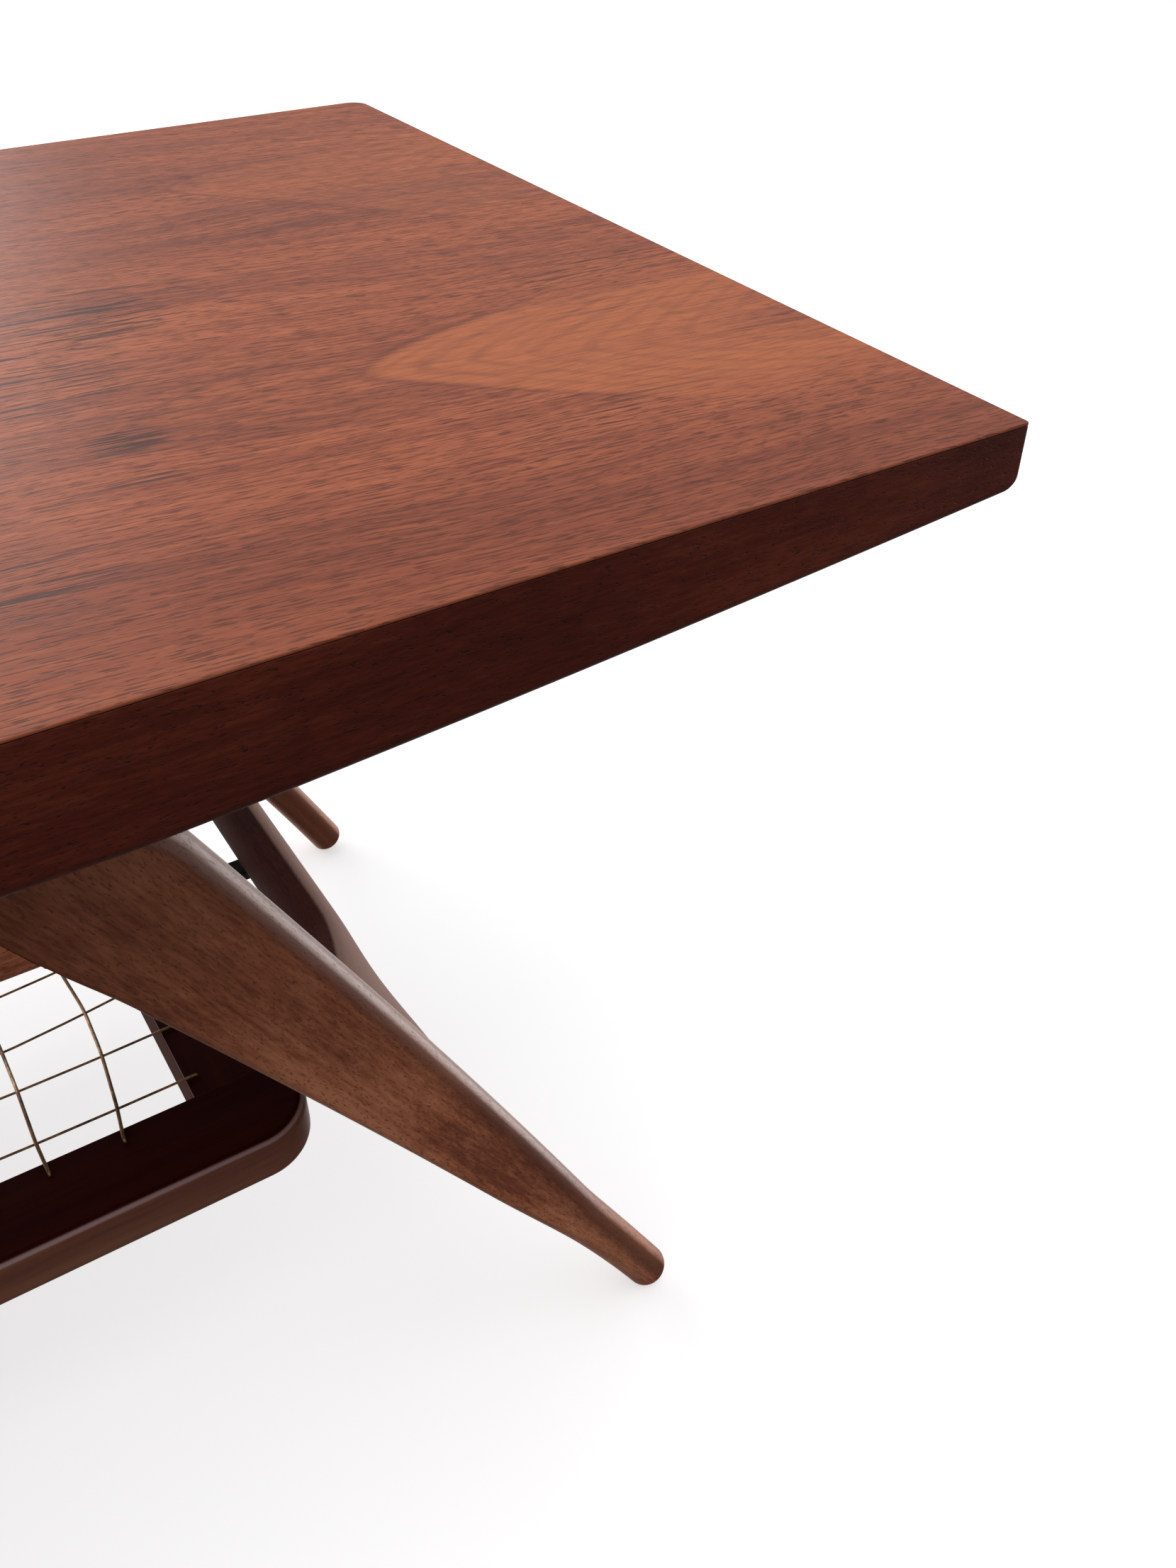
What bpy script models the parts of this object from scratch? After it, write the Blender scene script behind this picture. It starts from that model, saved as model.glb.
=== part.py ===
"""Low teak coffee table with a wire magazine rack hung between its legs.

Blender 4.5, metres, +Z up. The origin is on the floor, under the middle of the top. X runs along the
table and Y across it, with the near long side at -Y. Every physical piece is an object of its own.
"""

import math

import bmesh
import bpy
from mathutils import Vector

# Driving dimensions
LENGTH = 1.100
WIDTH = 0.500
HEIGHT = 0.463
FIT_GAP = 0.0003  # left between pieces that touch
OVERCUT = 0.002  # how far a cutter reaches past the face that it opens

# Top
VENEER_THICKNESS = 0.0009
BOARD_THICKNESS = 0.0220
LIPPING_WIDTH = 0.020
LIPPING_END_DEPTH = 0.0247  # below the top surface, at the ends of the table
LIPPING_MID_DEPTH = 0.0448  # below the top surface, between the legs
LIPPING_TAPER_LENGTH = 0.300
LIPPING_TAPER_POWER = 1.25
LIPPING_BOTTOM_RADIUS = 0.0045
END_STRIP_THICKNESS = 0.005
END_STRIP_ARRIS = 0.0006
NEAR_CORNER_RADIUS = 0.0015
FAR_CORNER_RADIUS = 0.009

# Side frames: two legs and a rail, in a plane along X
FRAME_Y = 0.200  # middle of the leg's thickness
FRAME_THICKNESS = 0.028
FRAME_TOP_Z = 0.404
RAIL_BOTTOM_Z = 0.3604
LEG_SPLIT_Z = 0.361  # the leg tapers below this height and carries the rail above it
LEG_SPLIT_X = 0.2552  # middle of the leg at that height
LEG_LEAN = 0.5659  # how far the middle of the leg moves out for each metre down
LEG_FOOT_HALF = 0.0118
LEG_TAPER_START_Z = 0.086
LEG_TAPER = 0.0652  # growth of the half width for each metre up, above the foot
LEG_TAPER_SOFTNESS = 0.015
LEG_BELLY = 0.0020  # outward bow of the leg between the foot and the rail
FOOT_TUCK = 0.0035  # how far the foot bends back inward
LEG_INNER_LEAN = 0.6264
LEG_OUTER_LEAN = 0.535
SHOULDER_RADIUS = 0.045
OUTER_CAP = 0.0075  # depth of the rounded outer edge
INNER_ROUND = 0.0045  # radius of the two inner arrises
CRISP_LENGTH = 0.030  # they fade over this length, below the joint with the rail
CRISP_SHARE = 0.12  # what is left of them at the joint
ROUND_BELOW_Z = 0.150  # the flat sides fade into a round foot below this height
FOOT_RADIUS = 0.0104
FOOT_END_Z = 0.0076  # middle of the last full section, under which the tip is a rounded cap
FOOT_CAP_LENGTH = 0.0070
TILT_LOW_Z = 0.020  # the sections turn from level to square with the leg between these heights
TILT_HIGH_Z = 0.130

# Stretchers: an upright oval section in the middle, which grows and leans over to meet the leg
STRETCHER_MID_X = 0.3437
STRETCHER_MID_Z = 0.2101
STRETCHER_MID_HALF_THICK = 0.0090
STRETCHER_MID_HALF_TALL = 0.0256
STRETCHER_END_Z = 0.2185
STRETCHER_END_HALF_THICK = 0.0153
STRETCHER_END_HALF_TALL = 0.028
STRETCHER_END_TILT = math.atan(LEG_LEAN)
STRETCHER_FLARE_Y = 0.100  # where the section starts to grow
STRETCHER_TENON_HALF = (0.0065, 0.0160)
STRETCHER_TENON_END_Y = 0.205

# Bearers between the side frames and the board
BEARER_X = 0.218
BEARER_WIDTH = 0.034
BEARER_LENGTH = 0.420
BEARER_SCREW_Y = 0.110
BEARER_ARRIS = 0.003

# Tenons of the side rails, in the legs
TENON_ROOT = 0.006  # how deep inside its own piece a tenon starts
RAIL_TENON_THICKNESS = 0.010
RAIL_TENON_LOW_Z = 0.3665
RAIL_TENON_HIGH_Z = 0.3885
RAIL_TENON_END_X = 0.242

# Rack
RACK_TOP_Z = 0.193
RACK_THICKNESS = 0.024
RACK_OUTER_X = 0.309
RACK_OUTER_Y = 0.1715
RACK_INNER_X = 0.2676
RACK_INNER_Y = 0.134
RACK_CORNER_RADIUS = 0.025
RACK_TOP_ARRIS = 0.0045
RACK_BOTTOM_ARRIS = 0.006
RACK_TENON_X = (0.2795, 0.3005)
RACK_TENON_Z = (0.1745, 0.1825)
RACK_TENON_END_Y = 0.151

# Wires
CROSS_WIRE_PITCH = 0.02965
LONG_WIRE_PITCH = 0.0309
CROSS_WIRE_RADIUS = 0.00075
LONG_WIRE_RADIUS = 0.00055
CROSS_WIRES_EACH_SIDE = 8
LONG_WIRES_EACH_SIDE = 4
CROSS_WIRES_NEAR_DENT = 5  # cross wires from this one outward follow the dent
LONG_WIRE_BENDS = (0, 3, 4, 5, 6, 7, 8)  # the cross wires, counted from the middle, where a long wire bends
CROSS_WIRE_END_Y = 0.1405  # the holes in the rack that take the ends of the wires
LONG_WIRE_END_X = 0.2733
WIRE_HOLE_DEPTH = 0.008
WIRE_SAG = 0.001
DENT_X = 0.2076  # a crossing pressed down by use, on either side of the middle
DENT_Y = -0.052
DENT_DEPTH = 0.0078
DENT_REACH_X = 0.0657
DENT_REACH_Y = 0.031
BENT_WIRE_BOW = 0.0066  # the outermost cross wires are bent outward by handling
BENT_WIRE_Y = -0.066
BENT_WIRE_REACH = 0.100

# Hangers
HANGER_WIDTH = 0.012
HANGER_THICKNESS = 0.005
HANGER_TOP_Z = STRETCHER_MID_Z - STRETCHER_MID_HALF_TALL - FIT_GAP
HANGER_INNER_X = 0.291
HANGER_OUTER_X = 0.352
HANGER_ARRIS = 0.0008

# Fixings
DOWEL_RADIUS = 0.004
DOWEL_X = 0.2215
DOWEL_Y = 0.198
DOWEL_LOW_Z = 0.392
DOWEL_HIGH_Z = 0.420
SCREW_HEAD_RADIUS = 0.0042
SCREW_SHANK_RADIUS = 0.0021
SCREW_HEAD_DEPTH = 0.0028
SCREW_POINT_LENGTH = 0.004
COUNTERBORE_DEPTH = 0.006
SCREW_IN_BOARD = 0.014
SCREW_IN_STRETCHER = 0.018

SIDES_X = (("left", -1), ("right", 1))
SIDES_Y = (("near", -1), ("far", 1))

VENEER_BOTTOM_Z = HEIGHT - VENEER_THICKNESS
BOARD_TOP_Z = VENEER_BOTTOM_Z - FIT_GAP
BOARD_BOTTOM_Z = BOARD_TOP_Z - BOARD_THICKNESS
SCREW_TIP_Z = BOARD_BOTTOM_Z + SCREW_IN_BOARD
BEARER_BOTTOM_Z = FRAME_TOP_Z + FIT_GAP
BEARER_TOP_Z = BOARD_BOTTOM_Z - FIT_GAP
BEARER_SCREW_HEAD_Z = BEARER_BOTTOM_Z + COUNTERBORE_DEPTH
RACK_BOTTOM_Z = RACK_TOP_Z - RACK_THICKNESS


# --- scene, materials and small helpers -------------------------------------------------------------


def clear_scene():
    for old in list(bpy.data.objects):
        bpy.data.objects.remove(old, do_unlink=True)


def make_collection(name):
    collection = bpy.data.collections.new(name)
    bpy.context.scene.collection.children.link(collection)
    return collection


def make_material(name, colour, roughness, metallic=0.0):
    material = bpy.data.materials.new(name)
    material.use_nodes = True
    shader = material.node_tree.nodes["Principled BSDF"]
    shader.inputs["Base Color"].default_value = (*colour, 1.0)
    shader.inputs["Roughness"].default_value = roughness
    shader.inputs["Metallic"].default_value = metallic
    material.diffuse_color = (*colour, 1.0)
    return material


def add_mesh(name, mesh, material, collection, smooth_angle=None):
    obj = bpy.data.objects.new(name, mesh)
    collection.objects.link(obj)
    if material is not None:
        mesh.materials.append(material)
    if smooth_angle is not None:
        mesh.shade_smooth()
        mesh.set_sharp_from_angle(angle=smooth_angle)
    return obj


def mesh_from(bm, name):
    bmesh.ops.recalc_face_normals(bm, faces=bm.faces[:])
    mesh = bpy.data.meshes.new(name)
    bm.to_mesh(mesh)
    bm.free()
    return mesh


def loft_into(bm, rings):
    """Joins rings of equal length into a closed body with a flat face at each end."""
    loops = [[bm.verts.new(point) for point in ring] for ring in rings]
    count = len(loops[0])
    for low, high in zip(loops, loops[1:]):
        for i in range(count):
            j = (i + 1) % count
            bm.faces.new((low[i], low[j], high[j], high[i]))
    bm.faces.new(list(reversed(loops[0])))
    bm.faces.new(loops[-1])


def loft_mesh(name, rings):
    bm = bmesh.new()
    loft_into(bm, rings)
    return mesh_from(bm, name)


def box_mesh(name, corner, opposite):
    """A box between two opposite corners, given in any order."""
    bm = bmesh.new()
    bmesh.ops.create_cube(bm, size=1.0)
    size = [abs(a - b) for a, b in zip(corner, opposite)]
    bmesh.ops.scale(bm, vec=size, verts=bm.verts[:])
    bmesh.ops.translate(bm, vec=(Vector(corner) + Vector(opposite)) / 2, verts=bm.verts[:])
    return mesh_from(bm, name)


def add_bevel(obj, width, segments=2):
    bevel = obj.modifiers.new("arris", "BEVEL")
    bevel.width = width
    bevel.segments = segments
    bevel.limit_method = "ANGLE"
    return bevel


def add_rod(bm, start, end, radius, sides=8):
    """A closed cylinder between two points, added to bm."""
    start = Vector(start)
    span = Vector(end) - start
    turn = span.to_track_quat("Z", "Y").to_matrix().to_4x4()
    made = bmesh.ops.create_cone(
        bm,
        cap_ends=True,
        segments=sides,
        radius1=radius,
        radius2=radius,
        depth=span.length,
    )
    turn.translation = start + span / 2
    bmesh.ops.transform(bm, matrix=turn, verts=made["verts"])


def rods_mesh(name, rods, sides=8):
    bm = bmesh.new()
    for start, end, radius in rods:
        add_rod(bm, start, end, radius, sides)
    return mesh_from(bm, name)


def add_helper(name, mesh):
    """A body that others are cut or joined with, and that isn't a piece itself."""
    obj = bpy.data.objects.new(name, mesh)
    helpers.objects.link(obj)
    obj.hide_render = True
    obj.display_type = "WIRE"
    return obj


def combine(obj, helper, operation):
    boolean = obj.modifiers.new(operation.lower(), "BOOLEAN")
    boolean.operation = operation
    boolean.solver = "EXACT"
    boolean.object = helper


def cut(obj, name, mesh):
    combine(obj, add_helper(name, mesh), "DIFFERENCE")


def join(obj, name, mesh):
    combine(obj, add_helper(name, mesh), "UNION")


def cut_holes(obj, name, rods):
    """Drills a round hole along each (start, end, radius), with the fit gap round it."""
    loose = [(start, end, radius + FIT_GAP) for start, end, radius in rods]
    cut(obj, name, rods_mesh(name, loose))


# --- top --------------------------------------------------------------------------------------------


def lipping_depth(from_end):
    """Depth of the long edge below the top surface, at a distance from the end of the table."""
    left = max(0.0, 1.0 - from_end / LIPPING_TAPER_LENGTH) ** LIPPING_TAPER_POWER
    return LIPPING_MID_DEPTH - (LIPPING_MID_DEPTH - LIPPING_END_DEPTH) * left


def quarter_round(radius, distance):
    """How far a quarter-round corner stands back, at a distance from where it starts."""
    if distance >= radius:
        return 0.0
    return radius - math.sqrt(radius**2 - (radius - distance) ** 2)


def lipping_ring(x, side, corner_radius):
    """Section of a long edge at x: side is -1 for the near edge and +1 for the far one."""
    from_end = LENGTH / 2 - abs(x)
    outer = WIDTH / 2 - quarter_round(corner_radius, from_end)
    inner = WIDTH / 2 - LIPPING_WIDTH
    bottom = HEIGHT - lipping_depth(from_end)
    bottom += quarter_round(LIPPING_BOTTOM_RADIUS, from_end)
    radius = LIPPING_BOTTOM_RADIUS
    points = [(inner, BOARD_TOP_Z), (outer, BOARD_TOP_Z)]
    for step in range(5):
        angle = math.radians(90 * step / 4)
        across = outer - radius + radius * math.cos(angle)
        up = bottom + radius - radius * math.sin(angle)
        points.append((across, up))
    points.append((inner, bottom))
    return [(x, side * across, up) for across, up in points]


def lipping_stations(corner_radius):
    """Distances from the end of the table, close together where the corner is round."""
    round_part = max(corner_radius, LIPPING_BOTTOM_RADIUS)
    stations = [round_part * (1 - math.cos(math.radians(15 * k))) for k in range(7)]
    tapered = LIPPING_TAPER_LENGTH - round_part
    stations += [round_part + tapered * k / 9 for k in range(1, 10)]
    return stations


def make_lipping(name, side, corner_radius):
    ends = [LENGTH / 2 - distance for distance in lipping_stations(corner_radius)]
    places = [-x for x in ends] + list(reversed(ends))
    rings = [lipping_ring(x, side, corner_radius) for x in places]
    add_mesh(name, loft_mesh(name, rings), edge_teak, parts, math.radians(35))


def rounded_plan(half_x, half_y, near_radius, far_radius, steps=6):
    """Points round a rectangle, anticlockwise, with one radius on the near and one on the far corners."""
    points = []
    corners = [
        (-1, -1, near_radius, 180),
        (1, -1, near_radius, 270),
        (1, 1, far_radius, 0),
        (-1, 1, far_radius, 90),
    ]
    for sign_x, sign_y, radius, start in corners:
        for k in range(steps + 1):
            angle = math.radians(start + 90 * k / steps)
            x = sign_x * (half_x - radius) + radius * math.cos(angle)
            y = sign_y * (half_y - radius) + radius * math.sin(angle)
            points.append((x, y))
    return points


def flat_outline(name, points, low_z, high_z, collection):
    """A closed outline, filled and extruded: an object whose mesh is welded."""
    curve = bpy.data.curves.new(name, "CURVE")
    curve.dimensions = "2D"
    curve.fill_mode = "BOTH"
    curve.extrude = (high_z - low_z) / 2
    spline = curve.splines.new("POLY")
    spline.points.add(len(points) - 1)
    for point, (x, y) in zip(spline.points, points):
        point.co = (x, y, 0, 1)
    spline.use_cyclic_u = True
    source = bpy.data.objects.new(name + "_outline", curve)
    collection.objects.link(source)
    source.location.z = (low_z + high_z) / 2
    bpy.context.view_layer.update()
    graph = bpy.context.evaluated_depsgraph_get()
    mesh = bpy.data.meshes.new_from_object(source.evaluated_get(graph))
    mesh.name = name
    mesh.transform(source.matrix_world)
    bpy.data.objects.remove(source, do_unlink=True)
    bm = bmesh.new()
    bm.from_mesh(mesh)
    bmesh.ops.remove_doubles(bm, verts=bm.verts[:], dist=0.00001)
    bmesh.ops.dissolve_limit(bm, angle_limit=0.001, verts=bm.verts[:], edges=bm.edges[:])
    bmesh.ops.recalc_face_normals(bm, faces=bm.faces[:])
    bm.to_mesh(mesh)
    bm.free()
    return mesh


def bearer_screws():
    """Name, x and y of each screw that holds the board to a bearer."""
    places = {}
    for name_y, side_y in SIDES_Y:
        for name_x, side_x in SIDES_X:
            name = f"bearer_screw_{name_y}_{name_x}"
            places[name] = (side_x * BEARER_X, side_y * BEARER_SCREW_Y)
    return places


def make_top():
    plan = rounded_plan(LENGTH / 2, WIDTH / 2, NEAR_CORNER_RADIUS, FAR_CORNER_RADIUS)
    veneer = flat_outline("top_veneer", plan, VENEER_BOTTOM_Z, HEIGHT, parts)
    add_mesh("top_veneer", veneer, top_teak, parts)

    inner_y = WIDTH / 2 - LIPPING_WIDTH - FIT_GAP
    inner_x = LENGTH / 2 - END_STRIP_THICKNESS - FIT_GAP
    board = add_mesh(
        "core_panel",
        box_mesh(
            "core_panel",
            (-inner_x, -inner_y, BOARD_BOTTOM_Z),
            (inner_x, inner_y, BOARD_TOP_Z),
        ),
        board_wood,
        parts,
    )
    shanks = [
        ((x, y, BOARD_BOTTOM_Z - OVERCUT), (x, y, SCREW_TIP_Z + FIT_GAP), SCREW_SHANK_RADIUS)
        for x, y in bearer_screws().values()
    ]
    cut_holes(board, "board_screw_holes", shanks)

    make_lipping("near_lipping", -1, NEAR_CORNER_RADIUS)
    make_lipping("far_lipping", 1, FAR_CORNER_RADIUS)
    for name_x, side_x in SIDES_X:
        name = f"{name_x}_end_strip"
        corner = (side_x * (inner_x + FIT_GAP), -inner_y, HEIGHT - LIPPING_END_DEPTH)
        opposite = (side_x * LENGTH / 2, inner_y, BOARD_TOP_Z)
        strip = add_mesh(name, box_mesh(name, corner, opposite), edge_teak, parts)
        add_bevel(strip, END_STRIP_ARRIS)


# --- side frames ------------------------------------------------------------------------------------


def leg_half(z):
    """Half the width of the leg along X at height z, below the rail."""
    up = z - LEG_TAPER_START_Z
    grown = (up + math.hypot(up, LEG_TAPER_SOFTNESS)) / 2
    return LEG_FOOT_HALF + LEG_TAPER * grown


def leg_edges(z):
    """Inner and outer x of the right leg at height z."""
    if z <= LEG_SPLIT_Z:
        middle = LEG_SPLIT_X + (LEG_SPLIT_Z - z) * LEG_LEAN
        share = max(0.0, (z - LEG_TAPER_START_Z) / (LEG_SPLIT_Z - LEG_TAPER_START_Z))
        middle += LEG_BELLY * math.sin(math.pi * share)
        middle -= FOOT_TUCK * max(0.0, 1 - z / LEG_TAPER_START_Z) ** 1.5
        return middle - leg_half(z), middle + leg_half(z)
    above = z - LEG_SPLIT_Z
    inner = LEG_SPLIT_X - leg_half(LEG_SPLIT_Z) - above * LEG_INNER_LEAN
    centre_z = FRAME_TOP_Z - SHOULDER_RADIUS
    lean = math.atan(LEG_OUTER_LEAN)
    start_z = centre_z + SHOULDER_RADIUS * math.sin(lean)
    outer = outer_line_x(min(z, start_z))
    if z > start_z:
        centre_x = outer - SHOULDER_RADIUS * math.cos(lean)
        across = SHOULDER_RADIUS**2 - (z - centre_z) ** 2
        outer = centre_x + math.sqrt(max(0.0, across))
    return inner, outer


def outer_line_x(z):
    return LEG_SPLIT_X + leg_half(LEG_SPLIT_Z) - (z - LEG_SPLIT_Z) * LEG_OUTER_LEAN


def blend(low, high, share):
    share = min(1.0, max(0.0, share))
    share = share * share * (3 - 2 * share)
    return low + (high - low) * share


def leg_tilt(z):
    """How far the section of the leg at height z leans from level: all the way at the foot."""
    share = (z - TILT_LOW_Z) / (TILT_HIGH_Z - TILT_LOW_Z)
    return blend(math.atan(LEG_LEAN), 0.0, share)


def leg_ring(z, shrink=1.0):
    """Section of the right leg: flat sides, a half-round outer edge, softened inner arrises."""
    inner, outer = leg_edges(z)
    lean = math.atan(LEG_LEAN)
    tilt = leg_tilt(z)
    roundness = 1.0 - min(1.0, z / ROUND_BELOW_Z)
    half = blend(FRAME_THICKNESS / 2, FOOT_RADIUS, roundness) * shrink
    middle = (inner + outer) / 2
    reach = (outer - inner) / 2 * math.cos(lean) / math.cos(lean - tilt) * shrink
    if z > FRAME_TOP_Z - INNER_ROUND:
        half -= quarter_round(INNER_ROUND, FRAME_TOP_Z - z)
    outer_cap = min(blend(OUTER_CAP, reach, roundness), reach)
    inner_along = blend(INNER_ROUND, reach, roundness)
    inner_across = blend(INNER_ROUND, half, roundness)
    if z > LEG_SPLIT_Z - CRISP_LENGTH:
        crisp = blend(1.0, CRISP_SHARE, (z - LEG_SPLIT_Z + CRISP_LENGTH) / CRISP_LENGTH)
        inner_along *= crisp
        inner_across *= crisp
    inner_along = min(inner_along, 2 * reach - outer_cap)
    inner_across = min(inner_across, half)
    points = []
    for step in range(9):
        angle = math.radians(-90 + 180 * step / 8)
        along = reach - outer_cap + outer_cap * math.cos(angle)
        points.append((along, half * math.sin(angle)))
    for start, side in ((90, 1), (180, -1)):
        for step in range(4):
            angle = math.radians(start + 30 * step)
            along = inner_along - reach + inner_along * math.cos(angle)
            across = side * (half - inner_across) + inner_across * math.sin(angle)
            points.append((along, across))
    return [
        (middle + along * math.cos(tilt), across, z + along * math.sin(tilt))
        for along, across in points
    ]


def foot_rings():
    """The rounded cap under the last full section, from its tip upward, flat where it meets the floor."""
    lean = math.atan(LEG_LEAN)
    rings = []
    for angle in (78, 60, 40, 20):
        ring = leg_ring(FOOT_END_Z, math.cos(math.radians(angle)))
        along = FOOT_CAP_LENGTH * math.sin(math.radians(angle))
        out = along * math.sin(lean)
        down = along * math.cos(lean)
        rings.append([(x + out, y, max(0.0, z - down)) for x, y, z in ring])
    return rings


def leg_rings():
    shank = [0.030, 0.060, 0.090, 0.120, 0.150, 0.200, 0.250, 0.300, LEG_SPLIT_Z - CRISP_LENGTH]
    shoulder_start = FRAME_TOP_Z - SHOULDER_RADIUS
    shoulder = [
        shoulder_start + SHOULDER_RADIUS * math.sin(math.radians(angle))
        for angle in (28, 41, 54, 66, 78)
    ]
    heights = [FOOT_END_Z] + shank + [LEG_SPLIT_Z] + shoulder + [FRAME_TOP_Z]
    return foot_rings() + [leg_ring(z) for z in heights]


def rail_tenon(side_x, side_y, gap):
    """The tenon of a side rail, from inside the rail to its end in the leg, grown all round by gap."""
    half = RAIL_TENON_THICKNESS / 2 + gap
    root = leg_edges(RAIL_TENON_HIGH_Z)[0] - TENON_ROOT
    corner = (side_x * root, side_y * FRAME_Y - half, RAIL_TENON_LOW_Z - gap)
    opposite = (side_x * (RAIL_TENON_END_X + gap), side_y * FRAME_Y + half, RAIL_TENON_HIGH_Z + gap)
    return corner, opposite


def bearer_dowel(side_x, side_y):
    x = side_x * DOWEL_X
    y = side_y * DOWEL_Y
    return ((x, y, DOWEL_LOW_Z), (x, y, DOWEL_HIGH_Z), DOWEL_RADIUS)


def longer(rod, extra):
    """The same upright rod with both ends moved out."""
    (x, y, low), (_, _, high), radius = rod
    return ((x, y, low - extra), (x, y, high + extra), radius)


def make_side_frames():
    right_rings = leg_rings()
    for name_y, side_y in SIDES_Y:
        for name_x, side_x in SIDES_X:
            name = f"leg_{name_y}_{name_x}"
            rings = [
                [(side_x * x, side_y * (FRAME_Y - y), z) for x, y, z in ring]
                for ring in right_rings
            ]
            leg = add_mesh(name, loft_mesh(name, rings), leg_wood, parts, math.radians(40))
            cut(leg, name + "_mortise", box_mesh(name, *rail_tenon(side_x, side_y, FIT_GAP)))
            socket = name + "_stretcher_mortise"
            cut(leg, socket, loft_mesh(socket, stretcher_tenon(side_x, side_y, FIT_GAP)))
            hole = longer(bearer_dowel(side_x, side_y), FIT_GAP)
            cut_holes(leg, name + "_dowel_hole", [hole])
        make_side_rail(name_y, side_y)


def make_side_rail(name_y, side_y):
    name = f"{name_y}_side_rail"
    low_x = leg_edges(RAIL_BOTTOM_Z)[0] - FIT_GAP
    high_x = leg_edges(FRAME_TOP_Z)[0] - FIT_GAP
    outline = [
        (-low_x, RAIL_BOTTOM_Z),
        (low_x, RAIL_BOTTOM_Z),
        (high_x, FRAME_TOP_Z),
        (-high_x, FRAME_TOP_Z),
    ]
    rings = []
    for y in (-FRAME_THICKNESS / 2, FRAME_THICKNESS / 2):
        rings.append([(x, side_y * FRAME_Y + y, z) for x, z in outline])
    mesh = loft_mesh(name, rings)
    mark_long_edges(mesh, min_length=0.3)
    rail = add_mesh(name, mesh, leg_wood, parts)
    weigh_bevel(rail, INNER_ROUND, 3)
    for name_x, side_x in SIDES_X:
        join(rail, f"{name}_tenon_{name_x}", box_mesh(name, *rail_tenon(side_x, side_y, 0.0)))


def mark_long_edges(mesh, min_length):
    """Gives every edge longer than min_length a full bevel weight, and the others none."""
    weights = mesh.attributes.new("bevel_weight_edge", "FLOAT", "EDGE")
    for edge, weight in zip(mesh.edges, weights.data):
        ends = [mesh.vertices[i].co for i in edge.vertices]
        weight.value = 1.0 if (ends[1] - ends[0]).length > min_length else 0.0


def weigh_bevel(obj, width, segments):
    bevel = obj.modifiers.new("arris", "BEVEL")
    bevel.width = width
    bevel.segments = segments
    bevel.limit_method = "WEIGHT"
    return bevel


# --- stretchers -------------------------------------------------------------------------------------


def stretcher_end_x():
    """Middle of the leg at the height of the stretcher."""
    return sum(leg_edges(STRETCHER_END_Z)) / 2


def tilted_oval(side_x, y, middle_x, middle_z, thick, tall, tilt):
    """An oval across Y, leaning over by tilt, on the right side or mirrored to the left one."""
    points = []
    for step in range(16):
        angle = 2 * math.pi * step / 16
        across = thick * math.cos(angle)
        up = tall * math.sin(angle)
        x = middle_x + across * math.cos(tilt) - up * math.sin(tilt)
        z = middle_z + across * math.sin(tilt) + up * math.cos(tilt)
        points.append((side_x * x, y, z))
    return points


def stretcher_ring(y, half_length, side_x):
    """Section of a stretcher at y: it grows and leans over the last part of its length."""
    share = (abs(y) - STRETCHER_FLARE_Y) / (half_length - STRETCHER_FLARE_Y)
    return tilted_oval(
        side_x,
        y,
        blend(STRETCHER_MID_X, stretcher_end_x(), share),
        blend(STRETCHER_MID_Z, STRETCHER_END_Z, share),
        blend(STRETCHER_MID_HALF_THICK, STRETCHER_END_HALF_THICK, share),
        blend(STRETCHER_MID_HALF_TALL, STRETCHER_END_HALF_TALL, share),
        blend(0.0, STRETCHER_END_TILT, share),
    )


def stretcher_tenon_ring(side_x, y, gap):
    thick, tall = (half + gap for half in STRETCHER_TENON_HALF)
    return tilted_oval(side_x, y, stretcher_end_x(), STRETCHER_END_Z, thick, tall, STRETCHER_END_TILT)


def stretcher_tenon(side_x, side_y, gap):
    """Rings of the oval tenon at one end of a stretcher, grown all round by gap."""
    root = FRAME_Y - FRAME_THICKNESS / 2 - OVERCUT
    return [
        stretcher_tenon_ring(side_x, side_y * y, gap)
        for y in (root, STRETCHER_TENON_END_Y + gap)
    ]


def make_stretchers():
    half_length = FRAME_Y - FRAME_THICKNESS / 2 - FIT_GAP
    flare_length = half_length - STRETCHER_FLARE_Y
    flare = [STRETCHER_FLARE_Y + flare_length * k / 6 for k in range(7)]
    for name_x, side_x in SIDES_X:
        name = f"{name_x}_stretcher"
        rings = [stretcher_ring(y, half_length, side_x) for y in flare]
        rings.append(stretcher_tenon_ring(side_x, half_length, 0.0))
        rings.append(stretcher_tenon_ring(side_x, STRETCHER_TENON_END_Y, 0.0))
        mirrored = [[(x, -y, z) for x, y, z in ring] for ring in reversed(rings)]
        mesh = loft_mesh(name, mirrored + rings)
        bar = add_mesh(name, mesh, leg_wood, parts, math.radians(40))
        hole = longer(hanger_screw_shank(side_x), FIT_GAP)
        cut_holes(bar, name + "_screw_hole", [hole])


# --- bearers ----------------------------------------------------------------------------------------


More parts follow.
